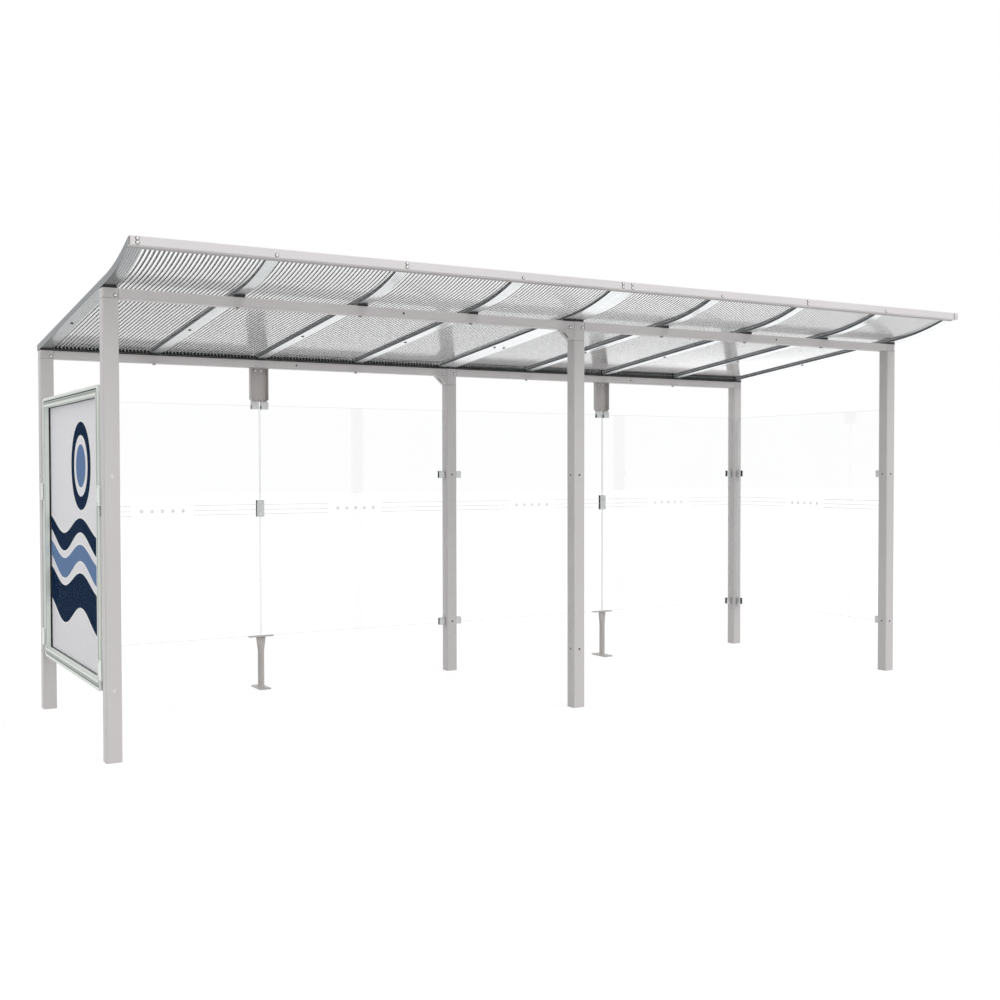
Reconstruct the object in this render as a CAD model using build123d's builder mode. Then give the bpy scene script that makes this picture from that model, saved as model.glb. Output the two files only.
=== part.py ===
from build123d import *
import os
from math import asin, atan2, ceil, cos, degrees, hypot, radians, sin

# Bus shelter of two equal modules, open at the front. Six hollow posts carry four beams, ten
# glazing bars that bend up to a fascia tube, and eight multiwall sheets between the bars. The
# rear and the right end are glazed with frameless panels held by clips, and the left end holds
# a glazed poster case. Millimetres. +X runs along the length, +Y from the open front to the rear
# wall, +Z up. The origin is on the ground under the middle of the whole outline.

os.makedirs("parts", exist_ok=True)

# ---- driving dimensions -----------------------------------------------------------------

# frame
module_length = 2500.0      # outer face to outer face of one module
frame_depth = 1535.0        # front face of the front posts to rear face of the rear posts
front_height = 2111.0       # top of the front posts
rear_height = 1958.5        # top of the rear posts
post_size = 70.0
post_wall = 3.0
post_corner = 6.0
beam_height = 45.0
beam_wall = 3.0
beam_corner = 4.0
tube_fit = 0.3              # clearance all round between a tube and what slides into it

# post heads
head_relief = 1.0           # the collars of the end posts stop short of the beams' undersides
gusset_cover = 2.0          # the collars of the middle posts reach below the gussets
head_plate = 5.0
spigot_length = 90.0        # part of a head that sits inside its post
stub_length = 60.0          # part of a head that sits inside a beam
gusset_reach = 62.0
gusset_drop = 56.0
gusset_plate = 4.0
gusset_slot_width = 14.0
gusset_slot_length = 42.0

# roof
roof_front_overhang = 490.0
roof_rear_overhang = 20.0
bend_start = 50.0           # from the front face of the posts forward to where the roof bends up
bend_radius = 1500.0        # at the top of the glazing bars
bars_per_module = 5
bar_width = 56.0
end_bar_width = 64.0        # the bars at the ends of a module
bar_wall = 2.2
bar_chamber = 14.0          # hollow foot of the glazing bar, below the sheet
bar_cap = 3.0
bar_web = 4.0
pad_least = 1.0             # thickness of the wedge pad at its thin rear edge
pad_inset = 2.0             # from each edge of the bar above
sheet_thickness = 16.0
sheet_skin = 1.2
sheet_web = 1.0
sheet_web_pitch = 205.0     # one web in ten
sheet_edge_gap = 2.0        # between the edge of a sheet and the web of its bar
sheet_fit = 1.0             # room above the sheet in the pocket of its bar
closer_wall = 1.5
closer_depth = 18.0
fascia_size = 40.0
fascia_wall = 2.5
fascia_corner = 3.0
seat_gap = 0.3              # between curved faces that lie on each other

# glazing
glass_thickness = 8.0
glass_bottom = 314.0
glass_top_gap = 223.5       # from the top of the panels to the underside of the rear beams
glass_end_gap = 14.0        # from the edge of a panel to the face of its post
glass_joint_gap = 6.0
clip_size = 45.0
clip_depth = 26.0
clip_grip = 22.0            # depth of the slot that takes the glass
clip_slot_fit = 0.3         # gasket clearance each side of the glass
clip_chamfer = 5.0
lower_clip_rise = 8.0       # from the lower edge of the glass to the middle of the clip
upper_clip_rise = 962.0
joint_clip_height = 100.0
joint_clip_rise = 763.0

# hangers and feet at the glass joints
hanger_width = 110.0
hanger_depth = 34.0
hanger_clip_height = 45.5
hanger_wall = 3.0
hanger_clip_spacing = 59.0
foot_plate_length = 150.0
foot_plate_width = 40.0
foot_plate_thickness = 6.0
stem_diameter = 38.0
stem_wall = 3.0
stem_head_width = 57.0      # the top of the stem is pressed flat and spreads to this
stem_head_thickness = 12.0
stem_head_height = 95.0
press_margin = 2.0          # the flats start this far outside the round of the tube
base_length = 160.0
base_width = 70.0
base_thickness = 8.0
base_slot_width = 12.0
base_slot_length = 26.0
base_slot_spacing = 104.0

# poster case
case_recess = 5.0           # from the outer faces of the posts in to the face of the case
case_side_gap = 43.5        # from the sides of the case to the posts, bridged by the lugs
case_height = 1386.0
case_bottom = 304.0
case_depth = 45.0
case_corner = 30.0
case_rim = 24.0             # width of the outer rim
case_rim_wall = 3.0
door_width = 34.0           # face width of the glazed door's frame
door_recess = 4.0
door_depth = 22.0
door_fit = 0.8
door_rebate = 6.0
case_glass = 4.0
case_back = 3.0
poster_margin = 10.0
poster_setback = 8.0        # from the back of the glass to the face of the poster
lug_height = 90.0
lug_thickness = 3.0
lug_overlap = 18.0
lug_rise = 101.0            # from the bottom of the case to the middle of the lower lugs
lug_spacing = 786.0

# ---- places worked out from the driving dimensions --------------------------------------

total_length = 2 * module_length
left_x = -total_length / 2
right_x = total_length / 2
half_post = post_size / 2
rear_reach = max(roof_rear_overhang, base_length / 2 - half_post)
overall_depth = roof_front_overhang + frame_depth + rear_reach
front_y = -overall_depth / 2 + roof_front_overhang  # front face of the front posts
rear_y = front_y + frame_depth                      # rear face of the rear posts
post_x = {
    "left": left_x + half_post,
    "middle": half_post,
    "right": right_x - half_post,
}
row_y = {"front": front_y + half_post, "rear": rear_y - half_post}
row_top = {"front": front_height, "rear": rear_height}
end_head = beam_height - head_relief
middle_head = beam_height + gusset_drop + gusset_cover
head_height = {"left": end_head, "middle": middle_head, "right": end_head}
module_x = {"left": left_x, "right": 0.0}

# The bars lie on wedge pads, thinnest at the rear edge of each beam.
slope = atan2(front_height - rear_height, frame_depth - post_size)
bar_pocket = sheet_thickness + sheet_fit
bar_depth = bar_chamber + bar_pocket + bar_cap


def underside_z(y):
    """Height of the straight underside of the bars at the depth y."""
    return front_height + pad_least + seat_gap + (front_y + post_size - y) * (
        front_height - rear_height
    ) / (frame_depth - post_size)


# The underside bends about the same centre as the top, so its radius is larger by the depth.
bend_y = front_y - bend_start - bar_depth * sin(slope)
underside_radius = bend_radius + bar_depth
fascia_back_y = front_y - roof_front_overhang + fascia_size
front_angle = asin(sin(slope) + (bend_y - fascia_back_y) / underside_radius)
front_rise = underside_radius * (cos(slope) - cos(front_angle))
bar_front_z = underside_z(bend_y) + front_rise
fascia_z = bar_front_z + bar_depth / cos(front_angle) / 2

glass_height = rear_height - beam_height - glass_top_gap - glass_bottom
glass_y = row_y["rear"]
glass_x = post_x["right"]
joint_x = {"left": left_x + module_length / 2, "right": module_length / 2}
foot_plate_top = glass_bottom - seat_gap


def tube_section(width, depth, wall, corner):
    """Hollow rectangular section with rounded outer corners and square inner ones."""
    with BuildSketch() as section:
        RectangleRounded(width, depth, corner)
        Rectangle(width - 2 * wall, depth - 2 * wall, mode=Mode.SUBTRACT)
    return section.sketch


def save(part, node):
    """Name a finished piece and write it to its own file."""
    part.label = node
    export_step(part, f"parts/{node}.step")


# ---- posts ------------------------------------------------------------------------------

for row, y in row_y.items():
    for column, x in post_x.items():
        with BuildPart() as post:
            with BuildSketch(Plane(origin=(x, y, 0))):
                add(tube_section(post_size, post_size, post_wall, post_corner))
            extrude(amount=row_top[row] - head_height[column])
        save(post.part, f"post_{row}_{column}")

# ---- post heads: collar, spigot into the post, stubs into the beams ----------------------

spigot_size = post_size - 2 * (post_wall + tube_fit)
stub_depth = post_size - 2 * (beam_wall + tube_fit)
stub_height = beam_height - 2 * (beam_wall + tube_fit)
stub_sides = {"left": (1,), "middle": (-1, 1), "right": (-1,)}

with BuildPart() as post_heads:
    for row, y in row_y.items():
        for column, x in post_x.items():
            top = row_top[row]
            joint = top - head_height[column]
            with BuildSketch(Plane(origin=(x, y, joint))):
                RectangleRounded(post_size, post_size, post_corner)
            extrude(amount=head_height[column])
            with BuildSketch(Plane(origin=(x, y, joint - spigot_length))):
                Rectangle(spigot_size, spigot_size)
            extrude(amount=spigot_length)
            with BuildSketch(Plane(origin=(x, y, joint - spigot_length))):
                Rectangle(spigot_size - 2 * post_wall, spigot_size - 2 * post_wall)
            extrude(
                amount=spigot_length + head_height[column] - head_plate,
                mode=Mode.SUBTRACT,
            )
            for side in stub_sides[column]:
                stub_plane = Plane(
                    origin=(x + side * half_post, y, top - beam_height / 2),
                    x_dir=(0, side, 0),
                    z_dir=(side, 0, 0),
                )
                with BuildSketch(stub_plane):
                    Rectangle(stub_depth, stub_height)
                    Rectangle(
                        stub_depth - 2 * beam_wall,
                        stub_height - 2 * beam_wall,
                        mode=Mode.SUBTRACT,
                    )
                extrude(amount=stub_length)
save(post_heads.part, "post_heads")

# ---- gussets under the left beams at the middle posts ------------------------------------

with BuildPart() as gussets:
    for row, y in row_y.items():
        gusset_top = row_top[row] - beam_height - seat_gap
        corner = (-seat_gap, gusset_top)
        reach = (-seat_gap - gusset_reach, gusset_top)
        drop = (-seat_gap, gusset_top - gusset_drop)
        with BuildSketch(Plane(origin=(0, y, 0), x_dir=(1, 0, 0), z_dir=(0, -1, 0))):
            with BuildLine():
                Polyline(corner, reach, drop, close=True)
            make_face()
        extrude(amount=half_post, both=True)
        pocket_depth = post_size - 2 * gusset_plate
        slant = hypot(gusset_reach, gusset_drop)
        offset_along = gusset_plate * slant / gusset_drop
        offset_down = gusset_plate * slant / gusset_reach
        with BuildSketch(Plane(origin=(0, y, 0), x_dir=(1, 0, 0), z_dir=(0, -1, 0))):
            with BuildLine():
                Polyline(
                    corner,
                    (reach[0] + offset_along, gusset_top),
                    (drop[0], drop[1] + offset_down),
                    close=True,
                )
            make_face()
        extrude(amount=pocket_depth / 2, both=True, mode=Mode.SUBTRACT)
        slot_plane = Plane(
            origin=((reach[0] + drop[0]) / 2, y, (reach[1] + drop[1]) / 2),
            x_dir=(gusset_reach, 0, -gusset_drop),
            z_dir=(-gusset_drop, 0, -gusset_reach),
        )
        with BuildSketch(slot_plane):
            SlotOverall(gusset_slot_length, gusset_slot_width)
        extrude(amount=-gusset_plate, mode=Mode.SUBTRACT)
save(gussets.part, "gussets")

# ---- beams ------------------------------------------------------------------------------

beam_ends = {
    "left": (left_x + post_size, 0.0),
    "right": (post_size, right_x - post_size),
}
for row, y in row_y.items():
    for side, (start, end) in beam_ends.items():
        beam_plane = Plane(
            origin=(start, y, row_top[row] - beam_height / 2),
            x_dir=(0, 1, 0),
            z_dir=(1, 0, 0),
        )
        with BuildPart() as beam:
            with BuildSketch(beam_plane):
                add(tube_section(post_size, beam_height, beam_wall, beam_corner))
            extrude(amount=end - start)
        save(beam.part, f"beam_{row}_{side}")

# ---- fascia tubes -----------------------------------------------------------------------

for side, start in module_x.items():
    fascia_plane = Plane(
        origin=(start + seat_gap / 2, fascia_back_y - fascia_size / 2, fascia_z),
        x_dir=(0, 1, 0),
        z_dir=(1, 0, 0),
    )
    with BuildPart() as fascia:
        with BuildSketch(fascia_plane):
            add(tube_section(fascia_size, fascia_size, fascia_wall, fascia_corner))
        extrude(amount=module_length - seat_gap)
    save(fascia.part, f"fascia_{side}")

# ---- glazing bars -----------------------------------------------------------------------
# Each bar is one section swept along the roof line, straight from the rear and then bending up
# to the fascia, and cut off upright where it meets the fascia tube.

bar_end_y = rear_y + roof_rear_overhang - bar_depth * sin(slope)
path_overrun = degrees(bar_depth / underside_radius)
front_cut = Plane(origin=(0, fascia_back_y, 0), x_dir=(1, 0, 0), z_dir=(0, 1, 0))


def roof_line(x, height=0.0, setback=0.0):
    """Path at a height above the underside of the bars, from their rear end, less a setback."""
    up_y = height * sin(slope)
    up_z = height * cos(slope)
    start_y = bar_end_y - setback * cos(slope)
    start = (start_y + up_y, underside_z(start_y) + up_z)
    bend = (bend_y + up_y, underside_z(bend_y) + up_z)
    with BuildLine(Plane.YZ.offset(x)) as line:
        Line(start, bend)
        JernArc(
            start=bend,
            tangent=(-cos(slope), sin(slope)),
            radius=underside_radius - height,
            arc_size=-(degrees(front_angle - slope) + path_overrun),
        )
    return line.line


def rear_plane(x, height=0.0, setback=0.0):
    """Plane square to the roof line at its rear end, with Y up through the roof."""
    rear_end = Plane(
        origin=(x, bar_end_y, underside_z(bar_end_y)),
        x_dir=(1, 0, 0),
        z_dir=(0, -cos(slope), sin(slope)),
    )
    return Plane(rear_end * Pos(0, height, setback))


def half_bar(web_side):
    """Half the width of a bar. The bars at the ends of a module have web_side -1 or 1."""
    return (end_bar_width if web_side else bar_width) / 2


def bar_section(web_side):
    """Section of a glazing bar: hollow foot, web and cap. web_side is -1, 0 or 1."""
    width = 2 * half_bar(web_side)
    web_x = web_side * (width - bar_web) / 2
    with BuildSketch() as section:
        Rectangle(width, bar_chamber, align=(Align.CENTER, Align.MIN))
        with Locations((0, bar_wall)):
            Rectangle(
                width - 2 * bar_wall,
                bar_chamber - 2 * bar_wall,
                align=(Align.CENTER, Align.MIN),
                mode=Mode.SUBTRACT,
            )
        with Locations((web_x, bar_chamber)):
            Rectangle(bar_web, bar_pocket, align=(Align.CENTER, Align.MIN))
        with Locations((0, bar_chamber + bar_pocket)):
            Rectangle(width, bar_cap, align=(Align.CENTER, Align.MIN))
    return section.sketch


bar_step = module_length / (bars_per_module - 1)
bars = []
for start in module_x.values():
    for number in range(bars_per_module):
        if number == 0:
            bars.append((start + half_bar(-1), -1))
        elif number == bars_per_module - 1:
            bars.append((start + module_length - half_bar(1) - seat_gap, 1))
        else:
            bars.append((start + number * bar_step, 0))

for number, (x, web_side) in enumerate(bars, start=1):
    with BuildPart() as bar:
        with BuildSketch(rear_plane(x)):
            add(bar_section(web_side))
        sweep(path=roof_line(x))
        split(bisect_by=front_cut, keep=Keep.TOP)
    save(bar.part, f"glazing_bar_{number}")

# ---- wedge pads between the beams and the bars --------------------------------------------

for row, y in row_y.items():
    with BuildPart() as pads:
        for x, web_side in bars:
            low = row_top[row]
            edges = (y - half_post, y + half_post)
            with BuildSketch(Plane.YZ.offset(x)):
                with BuildLine():
                    Polyline(
                        (edges[0], low),
                        (edges[1], low),
                        (edges[1], underside_z(edges[1]) - seat_gap),
                        (edges[0], underside_z(edges[0]) - seat_gap),
                        close=True,
                    )
                make_face()
            extrude(amount=half_bar(web_side) - pad_inset, both=True)
    save(pads.part, f"wedge_pads_{row}")

# ---- multiwall roof sheets --------------------------------------------------------------
# Two skins joined by upright webs, with open cells along the slope, lying in the pockets of
# the bars on each side and bent cold to the roof line.

sheet_height = bar_chamber + seat_gap
sheet_setback = closer_wall + seat_gap


def sheet_section(width):
    """Section of a multiwall sheet, cells cut between the two skins."""
    inner_height = sheet_thickness - 2 * sheet_skin
    cells = ceil((width - 2 * sheet_web) / sheet_web_pitch)
    cell_pitch = (width - sheet_web) / cells
    with BuildSketch() as section:
        Rectangle(width, sheet_thickness, align=(Align.CENTER, Align.MIN))
        with Locations((0, sheet_thickness / 2)):
            with GridLocations(cell_pitch, 1, cells, 1):
                Rectangle(cell_pitch - sheet_web, inner_height, mode=Mode.SUBTRACT)
    return section.sketch


def web_face(x, web_side, facing):
    """Where the face of a bar's web lies, on the side that looks along facing."""
    return x + web_side * (half_bar(web_side) - bar_web / 2) + facing * bar_web / 2


bays = []
for left, right in zip(bars, bars[1:]):
    if left[1] == 1:
        continue
    bay_left = web_face(*left, 1) + sheet_edge_gap
    bay_right = web_face(*right, -1) - sheet_edge_gap
    clear_left, clear_right = left[0] + half_bar(left[1]), right[0] - half_bar(right[1])
    bays.append((bay_left, bay_right, clear_left, clear_right))

for number, (bay_left, bay_right, _, _) in enumerate(bays, start=1):
    middle = (bay_left + bay_right) / 2
    with BuildPart() as sheet:
        with BuildSketch(rear_plane(middle, sheet_height, sheet_setback)):
            add(sheet_section(bay_right - bay_left))
        sweep(path=roof_line(middle, sheet_height, sheet_setback))
        split(bisect_by=front_cut.offset(sheet_edge_gap), keep=Keep.TOP)
    save(sheet.part, f"roof_sheet_{number}")

# ---- channel closers over the rear ends of the sheets -------------------------------------

with BuildPart() as closers:
    for _, _, clear_left, clear_right in bays:
        plane = rear_plane((clear_left + clear_right) / 2, sheet_height + sheet_thickness / 2)
        length = clear_right - clear_left - 2 * seat_gap
        outer = sheet_thickness + 2 * (closer_wall + seat_gap)
        with BuildSketch(plane):
            Rectangle(length, outer)
        extrude(amount=closer_depth)
        with BuildSketch(plane.offset(closer_wall)):
            Rectangle(length, outer - 2 * closer_wall)
        extrude(amount=closer_depth, mode=Mode.SUBTRACT)
save(closers.part, "sheet_closers")

# ---- rear and end glazing ---------------------------------------------------------------

rear_panels = (
    (left_x + post_size + glass_end_gap, joint_x["left"] - glass_joint_gap / 2),
    (joint_x["left"] + glass_joint_gap / 2, -glass_end_gap),
    (post_size + glass_end_gap, joint_x["right"] - glass_joint_gap / 2),
    (joint_x["right"] + glass_joint_gap / 2, right_x - post_size - glass_end_gap),
)
for number, (start, end) in enumerate(rear_panels, start=1):
    with BuildPart() as panel:
        with BuildSketch(Plane(origin=((start + end) / 2, glass_y, glass_bottom))):
            Rectangle(end - start, glass_thickness)
        extrude(amount=glass_height)
    save(panel.part, f"glass_rear_{number}")

end_panel_length = frame_depth - 2 * (post_size + glass_end_gap)
with BuildPart() as end_panel:
    with BuildSketch(Plane(origin=(glass_x, (front_y + rear_y) / 2, glass_bottom))):
        Rectangle(glass_thickness, end_panel_length)
    extrude(amount=glass_height)
save(end_panel.part, "glass_end")

# ---- glass clips ------------------------------------------------------------------------
# A clip is a chamfered block on the face of its post, with a slot that takes the glass.


def clip_section():
    """Outline of a clip seen from above."""
    with BuildSketch() as section:
        Rectangle(clip_size, clip_depth)
        chamfer(section.vertices(), clip_chamfer)
    return section.sketch


def clip(x, y, z, towards):
    """One clip seated on a post at x, y and centred on the height z, reaching along towards."""
    seat = Plane(origin=(x, y, z), x_dir=towards, z_dir=(0, 0, 1))
    slot_bottom = max(-clip_size / 2, glass_bottom - seat_gap - z)
    with BuildPart() as block:
        with BuildSketch(seat.offset(-clip_size / 2)):
            with Locations((clip_size / 2, 0)):
                add(clip_section())
        extrude(amount=clip_size)
        with BuildSketch(seat.offset(slot_bottom)):
            with Locations((clip_size, 0)):
                Rectangle(
                    clip_size - glass_end_gap + seat_gap,
                    glass_thickness + 2 * clip_slot_fit,
                    align=(Align.MAX, Align.CENTER),
                )
        extrude(amount=clip_size, mode=Mode.SUBTRACT)
    return block.part


rear_seats = (
    (left_x + post_size, 1),
    (0.0, -1),
    (post_size, 1),
    (right_x - post_size, -1),
)
end_seats = ((front_y + post_size, 1), (rear_y - post_size, -1))
clip_heights = (glass_bottom + lower_clip_rise, glass_bottom + upper_clip_rise)

with BuildPart() as rear_clips:
    for x, side in rear_seats:
        for z in clip_heights:
            add(clip(x, glass_y, z, (side, 0, 0)))
save(rear_clips.part, "glass_clips_rear")

with BuildPart() as end_clips:
    for y, side in end_seats:
        for z in clip_heights:
            add(clip(glass_x, y, z, (0, side, 0)))
save(end_clips.part, "glass_clips_end")

joint_clip_bottom = glass_bottom + joint_clip_rise - joint_clip_height / 2
slot_length = (clip_size - glass_joint_gap) / 2 + seat_gap
slot = glass_thickness + 2 * clip_slot_fit
with BuildPart() as joint_clips:
    for x in joint_x.values():
        with BuildSketch(Plane(origin=(x, glass_y, joint_clip_bottom))):
            add(clip_section())
        extrude(amount=joint_clip_height)
        with BuildSketch(Plane(origin=(x, glass_y, joint_clip_bottom))):
            with Locations((-clip_size / 2, 0)):
                Rectangle(slot_length, slot, align=(Align.MIN, Align.CENTER))
            with Locations((clip_size / 2, 0)):
                Rectangle(slot_length, slot, align=(Align.MAX, Align.CENTER))
        extrude(amount=joint_clip_height, mode=Mode.SUBTRACT)
save(joint_clips.part, "joint_clips")

# ---- hangers: folded trays under the rear beams, with two clips on the glass ---------------

hanger_top = rear_height - beam_height
hanger_height = glass_top_gap + clip_grip - hanger_clip_height
hanger_bottom = hanger_top - hanger_height


def hanger_tray(x):
    """Tray at x, shelled from a block and open to the front."""
    with BuildPart() as tray:
        with BuildSketch(Plane(origin=(x, glass_y + hanger_depth / 4, hanger_bottom))):
            Rectangle(hanger_width, hanger_depth)
        extrude(amount=hanger_height)
        front = tray.faces().sort_by(Axis.Y)[0]
        offset(amount=-hanger_wall, openings=front)
    return tray.part


with BuildPart() as hangers:
    for x in joint_x.values():
        add(hanger_tray(x))
save(hangers.part, "hangers")

with BuildPart() as hanger_clips:
    for x in joint_x.values():
        with BuildSketch(Plane(origin=(x, glass_y, hanger_bottom - hanger_clip_height))):
            with GridLocations(hanger_clip_spacing, 1, 2, 1):
                add(clip_section())
        extrude(amount=hanger_clip_height)
        with BuildSketch(Plane(origin=(x, glass_y, hanger_bottom - hanger_clip_height))):
            Rectangle(hanger_width, glass_thickness + 2 * clip_slot_fit)
        extrude(amount=clip_grip + seat_gap, mode=Mode.SUBTRACT)
save(hanger_clips.part, "hanger_clips")

# ---- feet: slotted base, and a tube stem whose top is pressed flat under the glass --------

stem_top = foot_plate_top - foot_plate_thickness
flare_start = stem_top - stem_head_height


def pressed_stem(x, bottom, inset):
    """Stem at x from the height bottom, its skin set in by inset, spread and flattened on top."""
    radius = stem_diameter / 2 - inset
    half_width = stem_head_width / 2 - inset
    half_thickness = stem_head_thickness / 2 - inset
    upright = Plane(origin=(x, glass_y, 0), x_dir=(1, 0, 0), z_dir=(0, -1, 0))
    sideways = Plane(origin=(x, glass_y, 0), x_dir=(0, 1, 0), z_dir=(1, 0, 0))
    with BuildPart() as stem:
        with BuildSketch(upright):
            with BuildLine():
                Polyline(
                    (0, bottom),
                    (radius, bottom),
                    (radius, flare_start),
                    (half_width, stem_top),
                    (0, stem_top),
                    close=True,
                )
            make_face()
        revolve(axis=Axis((x, glass_y, 0), (0, 0, 1)))
        with BuildSketch(sideways):
            Polygon(
                (-radius - press_margin, bottom),
                (radius + press_margin, bottom),
                (radius + press_margin, flare_start),
                (half_thickness, stem_top),
                (-half_thickness, stem_top),
                (-radius - press_margin, flare_start),
                align=None,
            )
        extrude(amount=half_width + press_margin, both=True, mode=Mode.INTERSECT)
    return stem.part


with BuildPart() as feet:
    for x in joint_x.values():
        with BuildSketch(Plane(origin=(x, glass_y, 0))):
            Rectangle(base_width, base_length)
            with GridLocations(1, base_slot_spacing, 1, 2):
                SlotOverall(base_slot_length, base_slot_width, rotation=90, mode=Mode.SUBTRACT)
        extrude(amount=base_thickness)
        add(pressed_stem(x, base_thickness, 0.0))
        add(pressed_stem(x, base_thickness, stem_wall), mode=Mode.SUBTRACT)
        with BuildSketch(Plane(origin=(x, glass_y, stem_top))):
            Rectangle(foot_plate_length, foot_plate_width)
        extrude(amount=foot_plate_thickness)
save(feet.part, "glass_feet")

# ---- poster case ------------------------------------------------------------------------
# Built on the plane of its outer face, with X to the rear, Y up and Z out of the shelter.

case_width = frame_depth - 2 * (post_size + case_side_gap)
case_middle_y = (front_y + rear_y) / 2
case_middle_z = case_bottom + case_height / 2
case_face = Plane(
    origin=(left_x + case_recess, case_middle_y, case_middle_z),
    x_dir=(0, -1, 0),
    z_dir=(-1, 0, 0),
)
door_outer_width = case_width - 2 * (case_rim + door_fit)
door_outer_height = case_height - 2 * (case_rim + door_fit)
view_width = door_outer_width - 2 * door_width
view_height = door_outer_height - 2 * door_width

with BuildPart() as case_frame:
    with BuildSketch(case_face):
        RectangleRounded(case_width, case_height, case_corner)
        Rectangle(
            case_width - 2 * case_rim,
            case_height - 2 * case_rim,
            mode=Mode.SUBTRACT,
        )
    extrude(amount=-case_depth)
    with BuildSketch(case_face.offset(-case_depth)):
        Rectangle(case_width - 2 * case_rim_wall, case_height - 2 * case_rim_wall)
        RectangleRounded(
            case_width - 2 * case_rim_wall,
            case_height - 2 * case_rim_wall,
            case_corner - case_rim_wall,
            mode=Mode.INTERSECT,
        )
    extrude(amount=case_back, mode=Mode.SUBTRACT)
save(case_frame.part, "case_frame")

with BuildPart() as back_panel:
    with BuildSketch(case_face.offset(-case_depth)):
        RectangleRounded(
            case_width - 2 * (case_rim_wall + seat_gap),
            case_height - 2 * (case_rim_wall + seat_gap),
            case_corner - case_rim_wall - seat_gap,
        )
    extrude(amount=case_back - seat_gap)
save(back_panel.part, "case_back")

with BuildPart() as door:
    with BuildSketch(case_face.offset(-door_recess)):
        Rectangle(door_outer_width, door_outer_height)
        Rectangle(view_width, view_height, mode=Mode.SUBTRACT)
    extrude(amount=-door_depth)
    with BuildSketch(case_face.offset(-door_recess - door_depth)):
        Rectangle(view_width + 2 * door_rebate, view_height + 2 * door_rebate)
    extrude(amount=case_glass + seat_gap, mode=Mode.SUBTRACT)
save(door.part, "case_door")

with BuildPart() as case_pane:
    with BuildSketch(case_face.offset(-door_recess - door_depth)):
        Rectangle(
            view_width + 2 * (door_rebate - seat_gap),
            view_height + 2 * (door_rebate - seat_gap),
        )
    extrude(amount=case_glass)
save(case_pane.part, "case_pane")

with BuildPart() as poster:
    poster_face = -door_recess - door_depth - poster_setback
    with BuildSketch(case_face.offset(poster_face)):
        Rectangle(
            door_outer_width - 2 * poster_margin,
            door_outer_height - 2 * poster_margin,
        )
    extrude(amount=-(poster_face + case_depth - case_back))
save(poster.part, "poster_board")

lug_heights = (case_bottom + lug_rise, case_bottom + lug_rise + lug_spacing)
with BuildPart() as lugs:
    for side in (-1, 1):
        for z in lug_heights:
            edge = side * case_width / 2
            with BuildSketch(case_face):
                with Locations((edge - side * lug_overlap, z - case_middle_z)):
                    Rectangle(
                        case_side_gap + lug_overlap - seat_gap,
                        lug_height,
                        align=(Align.MIN if side > 0 else Align.MAX, Align.CENTER),
                    )
            extrude(amount=lug_thickness)
save(lugs.part, "case_lugs")
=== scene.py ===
"""Looks of a bus shelter: finishes, glazing, ribbed roof, fasteners and poster case.

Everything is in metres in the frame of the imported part: +X along the length, +Y from the open
front to the rear wall, +Z up.
"""
import logging
import math
from dataclasses import dataclass, field
from enum import Enum
from typing import Iterable, Sequence

import bmesh
import bpy
import numpy as np
from mathutils import Matrix, Vector
from mathutils.geometry import tessellate_polygon


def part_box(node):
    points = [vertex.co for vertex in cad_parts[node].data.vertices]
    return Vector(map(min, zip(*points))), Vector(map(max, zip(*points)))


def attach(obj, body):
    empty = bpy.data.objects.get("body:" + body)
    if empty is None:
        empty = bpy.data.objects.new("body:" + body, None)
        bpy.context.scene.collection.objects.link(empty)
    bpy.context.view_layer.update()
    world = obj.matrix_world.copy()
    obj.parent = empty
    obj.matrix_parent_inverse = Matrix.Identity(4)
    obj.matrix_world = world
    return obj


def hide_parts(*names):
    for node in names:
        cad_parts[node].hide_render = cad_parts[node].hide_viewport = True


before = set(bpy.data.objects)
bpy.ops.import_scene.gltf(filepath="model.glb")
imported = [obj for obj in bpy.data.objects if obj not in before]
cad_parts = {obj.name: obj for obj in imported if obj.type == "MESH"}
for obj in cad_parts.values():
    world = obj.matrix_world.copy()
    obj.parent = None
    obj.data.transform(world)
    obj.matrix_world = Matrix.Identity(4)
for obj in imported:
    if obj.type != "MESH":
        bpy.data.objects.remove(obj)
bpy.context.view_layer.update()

LOG = logging.getLogger("shelter")
ROOT = "root"
SHARP = math.radians(32)    # edges sharper than this are shaded as edges
WELD = 2e-6                 # points nearer than this become one
SPECK = 1e-7                # edges shorter than this are dissolved
HAIR = 0.0002               # overlap or gap that keeps two faces out of one plane
TRANSPARENT_LAYERS = 40     # surfaces that a ray may cross in the ribbed roof and the glass
JOINT_X = 1.25              # distance of the joints of the rear glass from the middle
BAR_SIDES = {1: -1, 5: 1, 6: -1, 10: 1}     # bars at a post, whose web is at their left or right
DOUBLE_BOLTS = (1, 3, 5, 6, 8, 10)          # bars that the fascia has two bolts at
BLEND_SPAN = (0.3, 0.7)     # values of a noise between which one colour gives way to another
WEB_SPAN = (0.28, 0.78)     # one less the cosine of the angle to X, where webs begin and end

X_AXIS = np.array((1.0, 0.0, 0.0))
Y_AXIS = np.array((0.0, 1.0, 0.0))
Z_AXIS = np.array((0.0, 0.0, 1.0))

Colour = tuple[float, float, float, float]
Span = tuple[float, float, float, float]    # start and stop, then lowest and highest level
Socket = bpy.types.NodeSocket
Array = np.ndarray
Mark = int | Array                  # index of a finish, for all polygons or for each


# ---- choices ---------------------------------


class Slot(Enum):
    """Material slots of the record, which each piece is built with but which nothing reads."""

    FRAME = "painted_frame"
    BAR = "bar_aluminium"
    SHEET = "roof_sheet"
    GLASS = "glass"
    ZINC = "clip_zinc"
    RUBBER = "pad_rubber"
    CLOSER = "closer_grey"
    CASE = "case_aluminium"
    POSTER = "poster"


class Row(Enum):
    """The two rows of posts."""

    FRONT = "front"
    REAR = "rear"


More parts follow.
